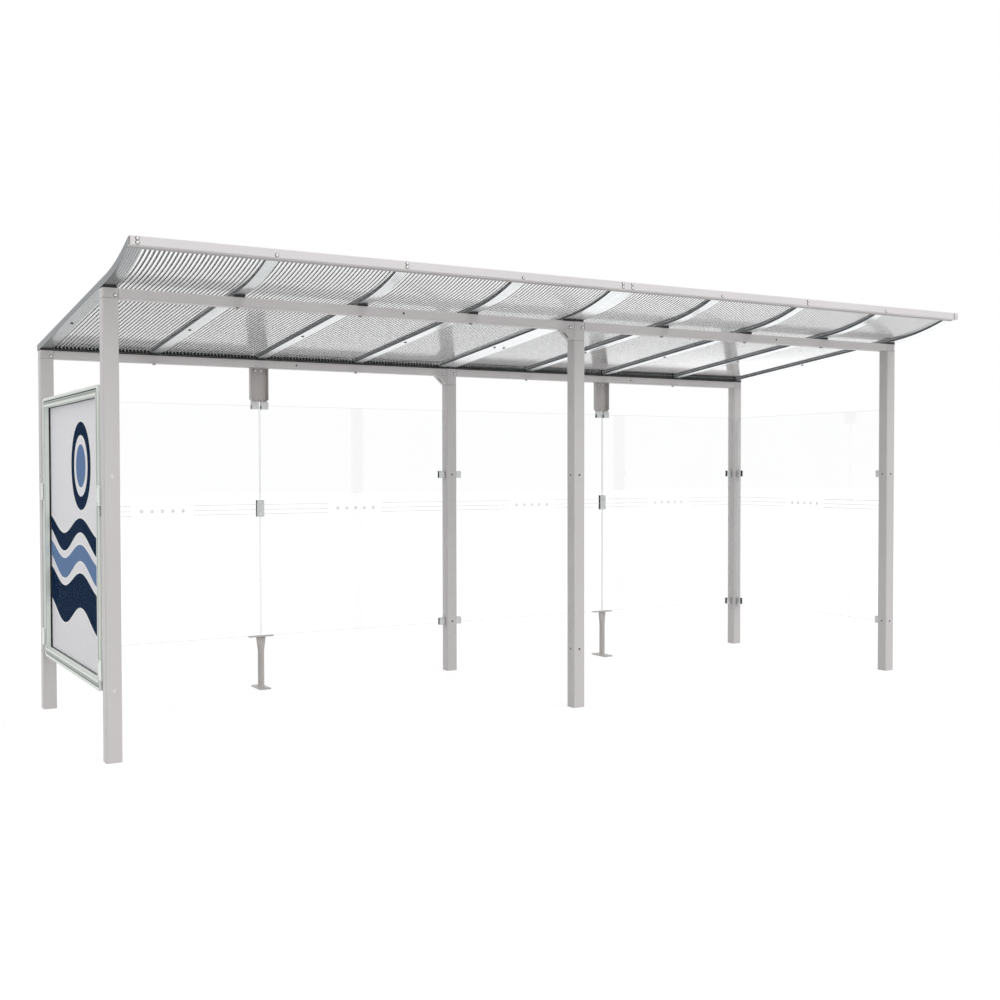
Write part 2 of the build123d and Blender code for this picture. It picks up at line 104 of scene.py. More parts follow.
class Column(Enum):
    """The three posts of a row."""

    LEFT = "left"
    MIDDLE = "middle"
    RIGHT = "right"


class Grain(Enum):
    """Direction that the marks of an extrusion run in, as a scale of Object coordinates."""

    ALONG_X = (1.0, 60.0, 60.0)
    ALONG_Z = (60.0, 60.0, 1.0)
    ALONG_ROOF = (12.0, 0.5, 1.0)


class HeadStyle(Enum):
    """Heads of the fasteners, as the number of sides of the head."""

    DOME = 24
    HEX = 6
    WASHER = 28


# ---- finishes --------------------------------


def linear(level: float) -> float:
    """Turns one display level from 0 to 255 into scene light by the sRGB curve."""
    share = level / 255.0
    if share <= 0.04045:
        return share / 12.92
    return ((share + 0.055) / 1.055) ** 2.4


def tint(red: float, green: float, blue: float) -> Colour:
    """Gives the scene colour of three display levels from 0 to 255."""
    return (linear(red), linear(green), linear(blue), 1.0)


def shade(colour: Colour, factor: float) -> Colour:
    """Multiplies a colour's light by a factor and keeps it opaque."""
    red, green, blue = (min(1.0, channel * factor) for channel in colour[:3])
    return (red, green, blue, 1.0)


def add_node(
    tree: bpy.types.NodeTree, kind: str, *inputs: object, **settings: object
) -> bpy.types.Node:
    """Adds a shader node.

    Args:
        tree: Tree that it is added to.
        kind: Type of the node, without its ShaderNode prefix.
        inputs: Values or sockets for its inputs in order, None to leave one as it is.
        settings: Attributes of the node.

    Returns:
        The node.
    """
    made = tree.nodes.new("ShaderNode" + kind)
    for name, value in settings.items():
        setattr(made, name, value)
    for socket, value in zip(made.inputs, inputs):
        if isinstance(value, Socket):
            tree.links.new(value, socket)
        elif value is not None:
            socket.default_value = value
    return made


class Bench:
    """A material being made: its node tree, its shader and the Object coordinates it reads."""

    def __init__(self, name: str) -> None:
        """Starts an empty material with one Principled shader.

        Args:
            name: Name of the material.
        """
        self.material = bpy.data.materials.new(name)
        self.material.use_nodes = True
        self.tree = self.material.node_tree
        self.tree.nodes.clear()
        self.shader = self.node("BsdfPrincipled")
        self.node("OutputMaterial", self.shader.outputs[0])
        self.place = self.node("TexCoord").outputs["Object"]

    def set(self, **values: float) -> None:
        """Sets sockets of the shader, with _ in a name standing for a space."""
        for name, value in values.items():
            self.shader.inputs[name.replace("_", " ")].default_value = value

    def feed(self, name: str, socket: Socket) -> None:
        """Links a socket of the tree to the named socket of the shader."""
        self.tree.links.new(socket, self.shader.inputs[name])

    def node(self, kind: str, *inputs: object, **settings: object) -> bpy.types.Node:
        """Adds a node to the material, as add_node does."""
        return add_node(self.tree, kind, *inputs, **settings)

    def noise(
        self, scale: float, detail: float = 3.0, stretch: Sequence[float] = (1.0, 1.0, 1.0)
    ) -> Socket:
        """Gives noise from 0 to 1 over Object coordinates.

        Args:
            scale: Waves in each metre.
            detail: Octaves of the noise.
            stretch: Scale along each axis before the noise.

        Returns:
            The noise value.
        """
        stretched = self.node("Mapping", self.place, None, None, stretch).outputs[0]
        return self.node("TexNoise", stretched, None, scale, detail).outputs[0]

    def spread(self, value: Socket, low: float, high: float) -> Socket:
        """Maps a value from 0..1 to low..high."""
        return self.node("MapRange", value, 0.0, 1.0, low, high).outputs[0]

    def blend(self, value: Socket, first: Colour, second: Colour) -> Socket:
        """Mixes two colours by a value from 0 to 1."""
        ramp = self.node("ValToRGB", value)
        for element, place, colour in zip(ramp.color_ramp.elements, BLEND_SPAN, (first, second)):
            element.position = place
            element.color = colour
        return ramp.outputs[0]

    def paint(
        self, value: Socket, colour: Colour, darker: float, lighter: float, along: float = 1.0
    ) -> None:
        """Colours the shader by a value.

        Args:
            value: The value from 0 to 1.
            colour: Colour of the finish.
            darker: Share of its light at a low value.
            lighter: Share of its light at a high value.
            along: Share of its light left where the grooves are seen end on, a painted shade by
                the angle of view that stands in for a dimmer reflection.
        """
        mixed = self.blend(value, shade(colour, darker), shade(colour, lighter))
        self.feed("Base Color", self.painted_view_shade(mixed, along) if along < 1.0 else mixed)

    def polish(self, value: Socket, low: float, high: float) -> None:
        """Sets the roughness of the shader between two levels by a value from 0 to 1."""
        self.feed("Roughness", self.spread(value, low, high))

    def mirrored(
        self, straight: float, low: float, high: float, power: float = 5.0, gain: float = 1.0
    ) -> Socket:
        """Gives what a clear surface mirrors at the angle it is seen at.

        It is the share mirrored straight on, plus the rest times the gain times a power of one
        less the cosine of the angle, which is the same from both sides of a thin wall.

        Args:
            straight: Share mirrored straight on.
            low: Value given for a share of none.
            high: Value given for a share of one.
            power: The power, 5 for one smooth surface.
            gain: The gain, 1 for one smooth surface.

        Returns:
            The value between low and high.
        """
        facing = self.node("LayerWeight", 0.5).outputs["Facing"]
        raised = self.node("Math", facing, power, operation="POWER").outputs[0]
        start = low + (high - low) * straight
        return self.node("MapRange", raised, 0.0, 1.0 / gain, start, high).outputs[0]

    def crossing(self, along: float, across: float) -> Socket:
        """Gives how solid upright webs look: more so the nearer the eye is to their own plane.

        Args:
            along: Value where the eye looks along the webs, which stand square to X.
            across: Value where it looks at them flat on.

        Returns:
            The value between, by one less the cosine of the angle to X.
        """
        side = self.node("CombineXYZ", 1.0, 0.0, 0.0).outputs[0]
        facing = self.node("LayerWeight", 0.5, side).outputs["Facing"]
        return self.node("MapRange", facing, *WEB_SPAN, across, along).outputs[0]

    def painted_view_shade(self, colour: Socket, share: float) -> Socket:
        """Scales a colour's light down to a share of it where its grooves are seen end on: painted
        shade by the angle of view, standing in for a dimmer reflection.
        """
        raised = self.node("Math", self.crossing(1.0, 0.0), 3.0, operation="POWER").outputs[0]
        scale = self.spread(raised, 1.0, share)
        return self.node("VectorMath", colour, None, None, scale, operation="SCALE").outputs[0]

    def bump(self, height: Socket, distance: float, strength: float) -> None:
        """Raises the surface by a height value times a distance in metres."""
        made = self.node("Bump")
        made.inputs["Strength"].default_value = strength
        made.inputs["Distance"].default_value = distance
        self.tree.links.new(height, made.inputs["Height"])
        self.feed("Normal", made.outputs[0])


@dataclass(frozen=True)
class Finish:
    """A finish, which makes its material once and gives it to every piece that asks."""

    name: str
    colour: Colour

    def material(self) -> bpy.types.Material:
        """Gives the material, made on the first call."""
        found = bpy.data.materials.get(self.name)
        if found is not None:
            return found
        bench = Bench(self.name)
        self.dress(bench)
        return bench.material

    def dress(self, bench: Bench) -> None:
        """Fills in the material's nodes."""
        raise NotImplementedError


@dataclass(frozen=True)
class PowderCoat(Finish):
    """Satin powder coat: faint orange peel, and a colour that drifts a little along a part."""

    roughness: float = 0.42
    peel: float = 900.0
    peel_height: float = 0.00006
    drift: float = 1.3
    cloud: float = 35.0

    def dress(self, bench: Bench) -> None:
        """Noise at two scales drives colour and gloss, and fine noise the orange peel."""
        bench.paint(bench.noise(self.drift, 4.0), self.colour, 0.97, 1.03)
        bench.polish(bench.noise(self.cloud, 4.0), self.roughness - 0.05, self.roughness + 0.06)
        bench.bump(bench.noise(self.peel, 1.0), self.peel_height, 0.5)
        bench.set(Metallic=0.0, Coat_Weight=0.15, Coat_Roughness=0.3)


@dataclass(frozen=True)
class Extrusion(Finish):
    """Bare or anodised extruded metal with fine die lines along its length."""

    grain: Grain
    roughness: float = 0.3
    metallic: float = 1.0
    relief: float = 0.00008
    detail: float = 5.0
    # share of the colour left where the grooves are seen end on: painted shade by view angle
    along: float = 1.0
    lines: float = 14.0
    cloud: float = 2.2
    cloud_share: float = 0.12

    def dress(self, bench: Bench) -> None:
        """Noise stretched along the grain drives colour, gloss and the die lines."""
        lines = bench.noise(self.lines, self.detail, self.grain.value)
        cloud = bench.noise(self.cloud)
        mixed = bench.node("Math", lines, cloud, self.cloud_share, operation="MULTIPLY_ADD")
        bench.paint(mixed.outputs[0], self.colour, 0.93, 1.04, self.along)
        bench.polish(lines, self.roughness - 0.08, self.roughness + 0.1)
        bench.bump(lines, self.relief, 0.5)
        bench.set(Metallic=self.metallic)


@dataclass(frozen=True)
class CastMetal(Finish):
    """Satin cast zinc or a plated fastener, with a fine grainy skin."""

    roughness: float = 0.38
    metallic: float = 0.9
    grain: float = 1400.0
    relief: float = 0.0001
    cloud: float = 60.0

    def dress(self, bench: Bench) -> None:
        """Cell noise gives the cast grain, and wide noise the uneven colour and gloss."""
        grain = bench.node("TexVoronoi", bench.place, None, self.grain, feature="F1")
        cloud = bench.noise(self.cloud, 4.0)
        bench.paint(cloud, self.colour, 0.9, 1.06)
        bench.polish(cloud, self.roughness - 0.08, self.roughness + 0.1)
        bench.bump(grain.outputs[0], self.relief, 0.35)
        bench.set(Metallic=self.metallic)


@dataclass(frozen=True)
class Rubber(Finish):
    """Matt rubber or soft plastic, dark or pale, with a chalky variation."""

    roughness: float = 0.75
    cloud: float = 90.0
    grain: float = 1500.0
    relief: float = 0.0001

    def dress(self, bench: Bench) -> None:
        """Noise lightens and darkens the colour and breaks up the gloss."""
        cloud = bench.noise(self.cloud, 5.0)
        bench.paint(cloud, self.colour, 0.8, 1.5)
        bench.polish(cloud, self.roughness - 0.1, self.roughness + 0.12)
        bench.bump(bench.noise(self.grain, 2.0), self.relief, 0.4)
        bench.set(Metallic=0.0)


@dataclass(frozen=True)
class ClearSkin(Finish):
    """Clear glossy sheet or glass, which mirrors more the flatter it is seen."""

    body: float = 0.02
    straight: float = 0.05
    roughness: float = 0.05
    ripple: float = 0.00004
    most: float = 1.0
    power: float = 5.0
    gain: float = 1.0
    haze: float = 3.0
    waves: float = 9.0

    def dress(self, bench: Bench) -> None:
        """Opacity is the mirrored share over a faint body, and wide noise ripples the mirror."""
        share = bench.mirrored(self.straight, self.body, self.most, self.power, self.gain)
        bench.feed("Alpha", share)
        haze = bench.noise(self.haze, 4.0)
        bench.paint(haze, self.colour, 0.97, 1.02)
        bench.polish(haze, self.roughness * 0.7, self.roughness * 1.4)
        bench.bump(bench.noise(self.waves, 2.0), self.ripple, 1.0)
        bench.set(Metallic=1.0)


@dataclass(frozen=True)
class Veil(Finish):
    """Translucent edge or film of one opacity."""

    opacity: float
    roughness: float = 0.35
    gloss: float = 0.5
    cloud: float = 25.0

    def dress(self, bench: Bench) -> None:
        """Noise makes the colour and the opacity a little uneven."""
        cloud = bench.noise(self.cloud, 4.0)
        bench.paint(cloud, self.colour, 0.9, 1.08)
        bench.feed("Alpha", bench.spread(cloud, self.opacity * 0.92, self.opacity * 1.08))
        bench.set(Metallic=0.0, Roughness=self.roughness, Specular_IOR_Level=self.gloss)


@dataclass(frozen=True)
class EdgeVeil(Finish):
    """Thin clear web or inner skin of a ribbed sheet, more solid the flatter it is seen, in a grey
    that is painted shade.
    """

    body: float
    most: float = 0.9
    straight: float = 0.05
    roughness: float = 0.4
    cloud: float = 12.0

    def dress(self, bench: Bench) -> None:
        """Opacity is the mirrored share over that of the body, and noise drifts the colour."""
        bench.feed("Alpha", bench.mirrored(self.straight, self.body, self.most))
        bench.paint(bench.noise(self.cloud), self.colour, 0.92, 1.08)
        bench.set(Metallic=0.0, Roughness=self.roughness)


@dataclass(frozen=True)
class WebFoot(Finish):
    """Foot of the webs of a ribbed sheet, painted dark as painted shade for the light that it
    turns aside when seen along them.
    """

    along: float
    across: float
    roughness: float = 0.6
    gloss: float = 0.05
    cloud: float = 12.0

    def dress(self, bench: Bench) -> None:
        """Opacity follows the angle to the webs, and noise drifts the colour."""
        bench.feed("Alpha", bench.crossing(self.along, self.across))
        bench.paint(bench.noise(self.cloud), self.colour, 0.92, 1.08)
        bench.set(Metallic=0.0, Roughness=self.roughness, Specular_IOR_Level=self.gloss)


@dataclass(frozen=True)
class PrintedSheet(Finish):
    """Satin poster paper or the ink on it, with fibre and a slight print mottle."""

    roughness: float = 0.5
    gloss: float = 0.05
    mottle: float = 220.0
    waves: float = 4.0
    wave_height: float = 0.0006

    def dress(self, bench: Bench) -> None:
        """Fine noise gives fibre and mottle, and wide noise a gentle wave of the paper."""
        mottle = bench.noise(self.mottle, 5.0)
        bench.paint(mottle, self.colour, 0.97, 1.03)
        bench.polish(mottle, self.roughness - 0.06, self.roughness + 0.08)
        bench.bump(bench.noise(self.waves, 2.0), self.wave_height, 0.4)
        bench.set(Metallic=0.0, Specular_IOR_Level=self.gloss)


PAINT = PowderCoat("powder_coat_grey", tint(208, 204, 204))
# Painted light: a lighter copy of the frame paint for the fascia, which is lit more.
FASCIA_PAINT_LIT = PowderCoat("powder_coat_fascia_painted_light", tint(230, 226, 227))
# The bar metal is darkened to a third where its grooves are seen end on: painted shade by view
# angle in place of a dimmer reflection.
BAR_METAL = Extrusion(
    "extruded_bar", tint(248, 250, 251), Grain.ALONG_ROOF, 0.2, 1.0, 0.000004, 2.0, 0.33
)
# Painted shade: the side faces and grooves of the bars are darker copies of the bar metal, lighter
# ones for bar 1; the pocket lining is painted pale against its shade.
BAR_END_SIDE_PAINTED_SHADE = Extrusion("extruded_bar_end_side_painted_shade", tint(156, 161, 164), Grain.ALONG_ROOF, 0.5, 0.3)
BAR_SIDE_PAINTED_SHADE = Extrusion("extruded_bar_side_painted_shade", tint(94, 98, 101), Grain.ALONG_ROOF, 0.5, 0.3)
BAR_GROOVE_PAINTED_SHADE = Extrusion("extruded_bar_groove_painted_shade", tint(150, 156, 159), Grain.ALONG_ROOF, 0.5, 0.5)
PALE_GROOVE_PAINTED_SHADE = Extrusion("extruded_bar_pale_groove_painted_shade", tint(216, 220, 222), Grain.ALONG_ROOF, 0.4)
BAR_LINING_PAINTED_LIGHT = Rubber("bar_lining_painted_light", tint(246, 247, 247), 0.85)
# Near black for the grey closers: painted shade of their place under the sheet ends.
CLOSER_PAINTED_SHADE = Extrusion("closer_painted_shade", tint(30, 31, 32), Grain.ALONG_X, 0.6, 0.2)
SKIN = ClearSkin("sheet_skin", tint(254, 255, 255), 0.0, 0.0, 0.13, power=40.0, gain=900.0)
GAP = ClearSkin("sheet_gap", tint(250, 251, 252), 0.01, 0.03, 0.13)
# Near-black web feet: painted shade for the light that the clear sheet turns aside.
SHADED_RIB = WebFoot("sheet_rib_painted_shade", tint(22, 25, 28), 1.0, 0.85)
# Grey for the clear inner skins and webs: painted shade for how they darken when seen edge on.
SHADED_INNER = EdgeVeil("sheet_inner_painted_shade", tint(104, 107, 110), 0.0, 0.5, 0.0)
SHADED_WEB = EdgeVeil("sheet_web_painted_shade", tint(100, 103, 106), 0.02, 0.9, 0.0)
ZINC = CastMetal("cast_zinc", tint(196, 198, 198))
SCREW = CastMetal("plated_screw", tint(214, 214, 212), 0.25, 1.0, 2600.0)
UNDER_SCREW = CastMetal("beam_screw", tint(150, 150, 148), 0.35, 0.8, 2600.0)
DARK_SCREW = CastMetal("dark_screw", tint(70, 68, 68), 0.4, 0.6, 2600.0)
RUBBER = Rubber("black_rubber", tint(30, 30, 31))
# Pale strip behind the rear seal: painted reflection of the rib ends.
REFLECTION_STRIP = Rubber("painted_reflection_strip", tint(150, 153, 154), 0.6)
PAD_RUBBER = Rubber("pad_rubber", tint(58, 62, 65))
SEAL_RUBBER = Rubber("seal_rubber", tint(12, 12, 12), 0.9)
PLUG = Rubber("dark_plug", tint(40, 39, 40), 0.5)
# Painted shade: a darker copy of the frame paint, for the hanger trays and the fascia flanges.
SHADED_PAINT = PowderCoat("powder_coat_painted_shade", tint(196, 192, 190))
FOOT_PAINT = PowderCoat("powder_coat_foot", tint(192, 187, 184))
LUG_METAL = Extrusion("case_strap", tint(245, 251, 245), Grain.ALONG_Z, 0.3, 0.15)
PALE_PLUG = PowderCoat("pale_plug", tint(224, 221, 220), 0.35)
GLASS = ClearSkin("pane_glass", tint(238, 242, 242), 0.01, 0.04, 0.01, 0.00001)
GLASS_EDGE = Veil("pane_edge", tint(196, 206, 204), 0.55, 0.2)
FILM = Veil("frosted_film", tint(236, 239, 239), 0.35, 0.6)
CASE_METAL = Extrusion("case_extrusion", tint(240, 246, 240), Grain.ALONG_Z, 0.35, 0.1)
CASE_SEAL = Rubber("case_seal", tint(34, 35, 34), 0.7)
CASE_GLASS = ClearSkin("case_glass", tint(250, 252, 252), 0.001, 0.004, 0.02, 0.00001, 0.012)
CASE_SHADOW = Extrusion("case_painted_shadow", tint(190, 197, 190), Grain.ALONG_Z, 0.4, 0.25)
BACK_PAINT = PowderCoat("case_back_paint", tint(205, 206, 206), 0.5)
PAPER = PrintedSheet("poster_paper", tint(246, 245, 249))
INK = PrintedSheet("poster_ink", tint(24, 45, 74), 0.45, 0.0)
WHITE_INK = PrintedSheet("poster_white_ink", tint(255, 255, 255), 0.45)
PALE_INK = PrintedSheet("poster_pale_ink", tint(112, 140, 182), 0.45, 0.0)


# ---- meshes ----------------------------------


@dataclass
class Surface:
    """A mesh being made: blocks of points, their polygons and the finish of each polygon."""

    points: list[Array] = field(default_factory=list)
    polygons: list[list[int]] = field(default_factory=list)
    marks: list[int] = field(default_factory=list)
    count: int = 0

    def add(self, points: Array, polygons: Iterable[Sequence[int]], mark: Mark = 0) -> None:
        """Adds a block of points and its polygons.

        Args:
            points: Points in rows of three.
            polygons: Point numbers of each polygon within the block.
            mark: Index of the finish among those given to build, for all or for each.
        """
        flat = np.asarray(points, float).reshape(-1, 3)
        shifted = [[int(i) + self.count for i in polygon] for polygon in polygons]
        self.points.append(flat)
        self.polygons.extend(shifted)
        self.marks.extend(np.broadcast_to(mark, len(shifted)).tolist())
        self.count += len(flat)

    def grid(
        self, points: Array, close_rows: bool = False, close_columns: bool = False, mark: Mark = 0
    ) -> None:
        """Adds the surface through a grid of points, one quad between each four.

        Args:
            points: Grid of points, rows by columns by three.
            close_rows: Whether the last row joins the first.
            close_columns: Whether the last column joins the first.
            mark: Index of the finish, for all or for each quad of a row.
        """
        rows, columns = points.shape[:2]
        i = np.arange(rows if close_rows else rows - 1)[:, None]
        j = np.arange(columns if close_columns else columns - 1)[None, :]
        i_next = (i + 1) % rows
        j_next = (j + 1) % columns
        around = ((i, j), (i_next, j), (i_next, j_next), (i, j_next))
        quads = np.stack(np.broadcast_arrays(*(a * columns + b for a, b in around)), axis=-1)
        marks = np.broadcast_to(mark, quads.shape[:2]).ravel()
        self.add(points, quads.reshape(-1, 4), marks)

    def cap(self, loops: Sequence[Array], mark: int = 0) -> None:
        """Closes a flat outline with holes by triangles.

        Args:
            loops: The outline and then its holes, each in rows of three.
            mark: Index of the finish.
        """
        triangles = tessellate_polygon([[Vector(p) for p in loop] for loop in loops])
        self.add(np.concatenate(loops), triangles, mark)

    def tube(self, rings: Array) -> None:
        """Adds a solid drawn along a path: the side through its rings, and a cap at each end."""
        self.grid(rings, close_columns=True)
        for end in (rings[0], rings[-1]):
            self.cap([end])

    def turned(self, points: Array, mark: Mark = 0) -> None:
        """Adds a shape turned about its axis, whose first points are closed by triangles."""
        self.grid(points, close_rows=True, mark=mark)
        self.cap([points[::-1, 0]])

    def build(
        self,
        name: str,
        finishes: Sequence[Finish],
        slot: Slot,
        replaces: Sequence[str] = (),
        bevel: float = 0.0,
    ) -> None:
        """Makes the piece at the origin, welds its seams and turns its faces outwards.

        Args:
            name: Name of the piece.
            finishes: Finishes in the order of the marks.
            slot: Slot of the record; not used.
            replaces: CAD nodes that it stands for.
            bevel: Width of a two-step bevel on its sharp edges, or none.
        """
        mesh = bpy.data.meshes.new(name)
        mesh.from_pydata(np.concatenate(self.points).tolist(), [], self.polygons)
        mesh.polygons.foreach_set("material_index", self.marks)
        for finish in finishes:
            mesh.materials.append(finish.material())
        work = bmesh.new()
        work.from_mesh(mesh)
        bmesh.ops.remove_doubles(work, verts=work.verts, dist=WELD)
        bmesh.ops.dissolve_degenerate(work, edges=work.edges, dist=SPECK)
        bmesh.ops.recalc_face_normals(work, faces=work.faces)
        work.to_mesh(mesh)
        work.free()
        mesh.shade_smooth()
        mesh.set_sharp_from_angle(angle=SHARP)
        made = bpy.data.objects.new(name, mesh)
        bpy.context.scene.collection.objects.link(made)
        if bevel:
            modifier = made.modifiers.new("edges", "BEVEL")
            modifier.width = bevel
            modifier.segments = 2
            modifier.limit_method = "ANGLE"
            modifier.harden_normals = True
        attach(made, ROOT)
        if replaces:
            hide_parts(*replaces)
        LOG.info("%s: %d faces for %s", name, len(mesh.polygons), list(replaces) or "looks")


def placed(
    points: Array, origin: Sequence[float], across: Array = X_AXIS, up: Array = Z_AXIS
) -> Array:
    """Carries points from their own axes to a place.

    Args:
        points: Points whose three numbers run along across, along up x across, and along up.
        origin: Where their zero goes.
        across: Direction of the first axis.
        up: Direction of the third axis.

    Returns:
        The carried points, in the same shape.
    """
    second = np.cross(up, across)
    return points @ np.stack((across, second, up)) + np.asarray(origin, float)


def corner_signs(steps: int) -> tuple[Array, Array]:
    """Gives the sign of both axes at each point of four corners, anticlockwise."""
    sign_x = np.repeat((1.0, -1.0, -1.0, 1.0), steps + 1)
    return sign_x, np.repeat((1.0, 1.0, -1.0, -1.0), steps + 1)


def rounded_outline(width: float, height: float, radius: float, steps: int = 4) -> Array:
    """Gives a rectangle with round corners: each corner's centre plus a quarter circle about it.

    Args:
        width: Whole width.
        height: Whole height.
        radius: Radius of the corners.
        steps: Steps in each corner.

    Returns:
        Points in rows of two, anticlockwise.
    """
    quarter = np.linspace(0.0, math.pi / 2, steps + 1)
    turn = np.concatenate([quarter + k * math.pi / 2 for k in range(4)])
    sign_x, sign_y = corner_signs(steps)
    x = sign_x * (width / 2 - radius) + radius * np.cos(turn)
    y = sign_y * (height / 2 - radius) + radius * np.sin(turn)
    return np.stack((x, y), axis=1)


def add_block(
    surface: Surface,
    low: Sequence[float],
    high: Sequence[float],
    radius: float,
    origin: Sequence[float] = (0.0, 0.0, 0.0),
    across: Array = X_AXIS,
    steps: int = 4,
) -> None:
    """Adds a block with round edges: the corners of a smaller box plus a sphere's directions.

    Args:
        surface: Mesh that it is added to.
        low: Lowest corner along its own axes, across, up x across, and up.
        high: Highest corner.
        radius: Radius of the edges.
        origin: Where its zero goes.
        across: Direction of its first axis.
        steps: Steps in each quarter turn.
    """
    low, high = np.asarray(low, float), np.asarray(high, float)
    centre, core = (low + high) / 2, (high - low) / 2 - radius
    ring = rounded_outline(2.0, 2.0, 1.0, steps)
    sign_x, sign_y = corner_signs(steps)
    rise = np.linspace(0.0, math.pi / 2, steps + 1)
    lift = np.concatenate((rise - math.pi / 2, rise))
    sign_z = np.repeat((-1.0, 1.0), steps + 1)
    x = sign_x * core[0] + radius * np.cos(lift)[:, None] * ring[:, 0]
    y = sign_y * core[1] + radius * np.cos(lift)[:, None] * ring[:, 1]
    z = (sign_z * core[2] + radius * np.sin(lift))[:, None] + 0.0 * ring[:, 0]
    block = Surface()
    block.tube(centre + np.stack((x, y, z), axis=-1))
    surface.add(placed(np.concatenate(block.points), origin, across), block.polygons)


def full_turn(steps: int) -> Array:
    """Gives the angles of a full turn in equal steps."""
    return np.linspace(0.0, 2 * math.pi, steps, endpoint=False)


def lathe(profile: Array, sides: int = 24) -> Array:
    """Turns a profile of radius and height about the third axis by a full turn in equal steps.

    Args:
        profile: Rows of radius and height.
        sides: Steps in the turn.

    Returns:
        Grid of points, sides by profile points by three.
    """
    turn = full_turn(sides)[:, None]
    radius, height = profile.T
    return np.stack((radius * np.cos(turn), radius * np.sin(turn), height + 0.0 * turn), axis=-1)


def prism(
    surface: Surface,
    loops: Sequence[Array],
    depth: float,
    origin: Sequence[float],
    across: Array,
    up: Array,
) -> None:
    """Adds a flat outline with holes drawn out along its normal, with both ends closed.

    Args:
        surface: Mesh that it is added to.
        loops: The outline and then its holes, in rows of two.
        depth: Distance that it is drawn out.
        origin: Where the outline's zero goes.
        across: Direction of the outline's first axis.
        up: Normal of the outline, along which it is drawn out.
    """
    ends = []
    for height in (0.0, depth):
        rows = [np.column_stack((loop, np.full(len(loop), height))) for loop in loops]
        ends.append([placed(row, origin, across, up) for row in rows])
    for first, last in zip(*ends):
        surface.grid(np.stack((first, last)), close_columns=True)
    for end in ends:
        surface.cap(end)


def disc_profile(radius: float, height: float) -> Array:
    """Gives the profile of a low dome with a socket: a rim, an arc, then the socket's wall.

    The radius of the dome goes by the cosine of the turn and its height by the sine, until the
    cosine is the socket's share of the radius.

    Args:
        radius: Radius of the head.
        height: Height of the head.

    Returns:
        Rows of radius and height, from the rim to the middle.
    """
    socket, rim, well = 0.35, 0.25, 0.45
    turn = np.linspace(0.0, 1.0, 5) * math.acos(socket)
    rise = rim + (1 - rim) * np.sin(turn) / math.sin(math.acos(socket))
    dome = np.stack((radius * np.cos(turn), height * rise), axis=1)
    floor = np.array(((radius * socket, height * well), (0.0, height * well)))
    return np.concatenate((np.array(((radius, 0.0),)), dome, floor))


def add_heads(
    surface: Surface,
    places: Iterable[Sequence[float]],
    normal: Array,
    radius: float,
    height: float,
    style: HeadStyle = HeadStyle.DOME,
    mark: int = 0,
) -> None:
    """Adds fastener heads that stand on a face.

    Args:
        surface: Mesh that they are added to.
        places: Centre of each on the face.
        normal: Direction that the heads point in.
        radius: Radius of the head.
        height: Height of the head.
        style: Dome with a socket, hexagon or flat washer, the last used for rings of painted
            shadow.
        mark: Index of the finish.
    """
    flat = 0.85     # share of the head that its chamfer leaves
    if style is HeadStyle.DOME:
        profile = disc_profile(radius, height)
    else:
        profile = np.array(
            ((radius, 0.0), (radius, height * flat), (radius * flat, height), (0.0, height))
        )
    head = lathe(profile, style.value)
    rim = np.arange(style.value) * len(profile)
    for place in places:
        points = placed(head, place, np.roll(normal, 1), normal)
        surface.grid(points, close_rows=True, mark=mark)
        surface.add(points, [rim[::-1]], mark)


def dress(nodes: Iterable[str], finish: Finish) -> None:
    """Gives CAD nodes a finish in place of the plain one that they came with."""
    for name in nodes:
        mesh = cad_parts[name].data
        mesh.materials.clear()
        mesh.materials.append(finish.material())
        LOG.info("%s: dressed in %s", name, finish.name)


def corners(node: str) -> tuple[Array, Array]:
    """Gives the lowest and highest corner of a CAD node."""
    low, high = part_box(node)
    return np.array(low), np.array(high)


# ---- places ----------------------------------


@dataclass(frozen=True)
class Site:
    """Where the frame stands: the faces of its rows, the tops of its beams, and its columns."""

    post: float
    face: dict[Row, tuple[float, float]]
    top: dict[Row, float]
    column: dict[Column, float]

    @classmethod
    def read(cls) -> "Site":
        """Reads the boxes of the posts and the beams.

        Returns:
            The site, in metres.
        """
        face, top, column = {}, {}, {}
        for row in Row:
            low, high = corners(f"post_{row.value}_left")
            face[row] = (low[1], high[1])
            top[row] = corners(f"beam_{row.value}_left")[1][2]
        for place in Column:
            column[place] = corners(f"post_front_{place.value}")[0][0]
        return cls(high[0] - low[0], face, top, column)

    def middle(self, row: Row) -> float:
        """Gives the depth of the middle of a row."""
        return sum(self.face[row]) / 2


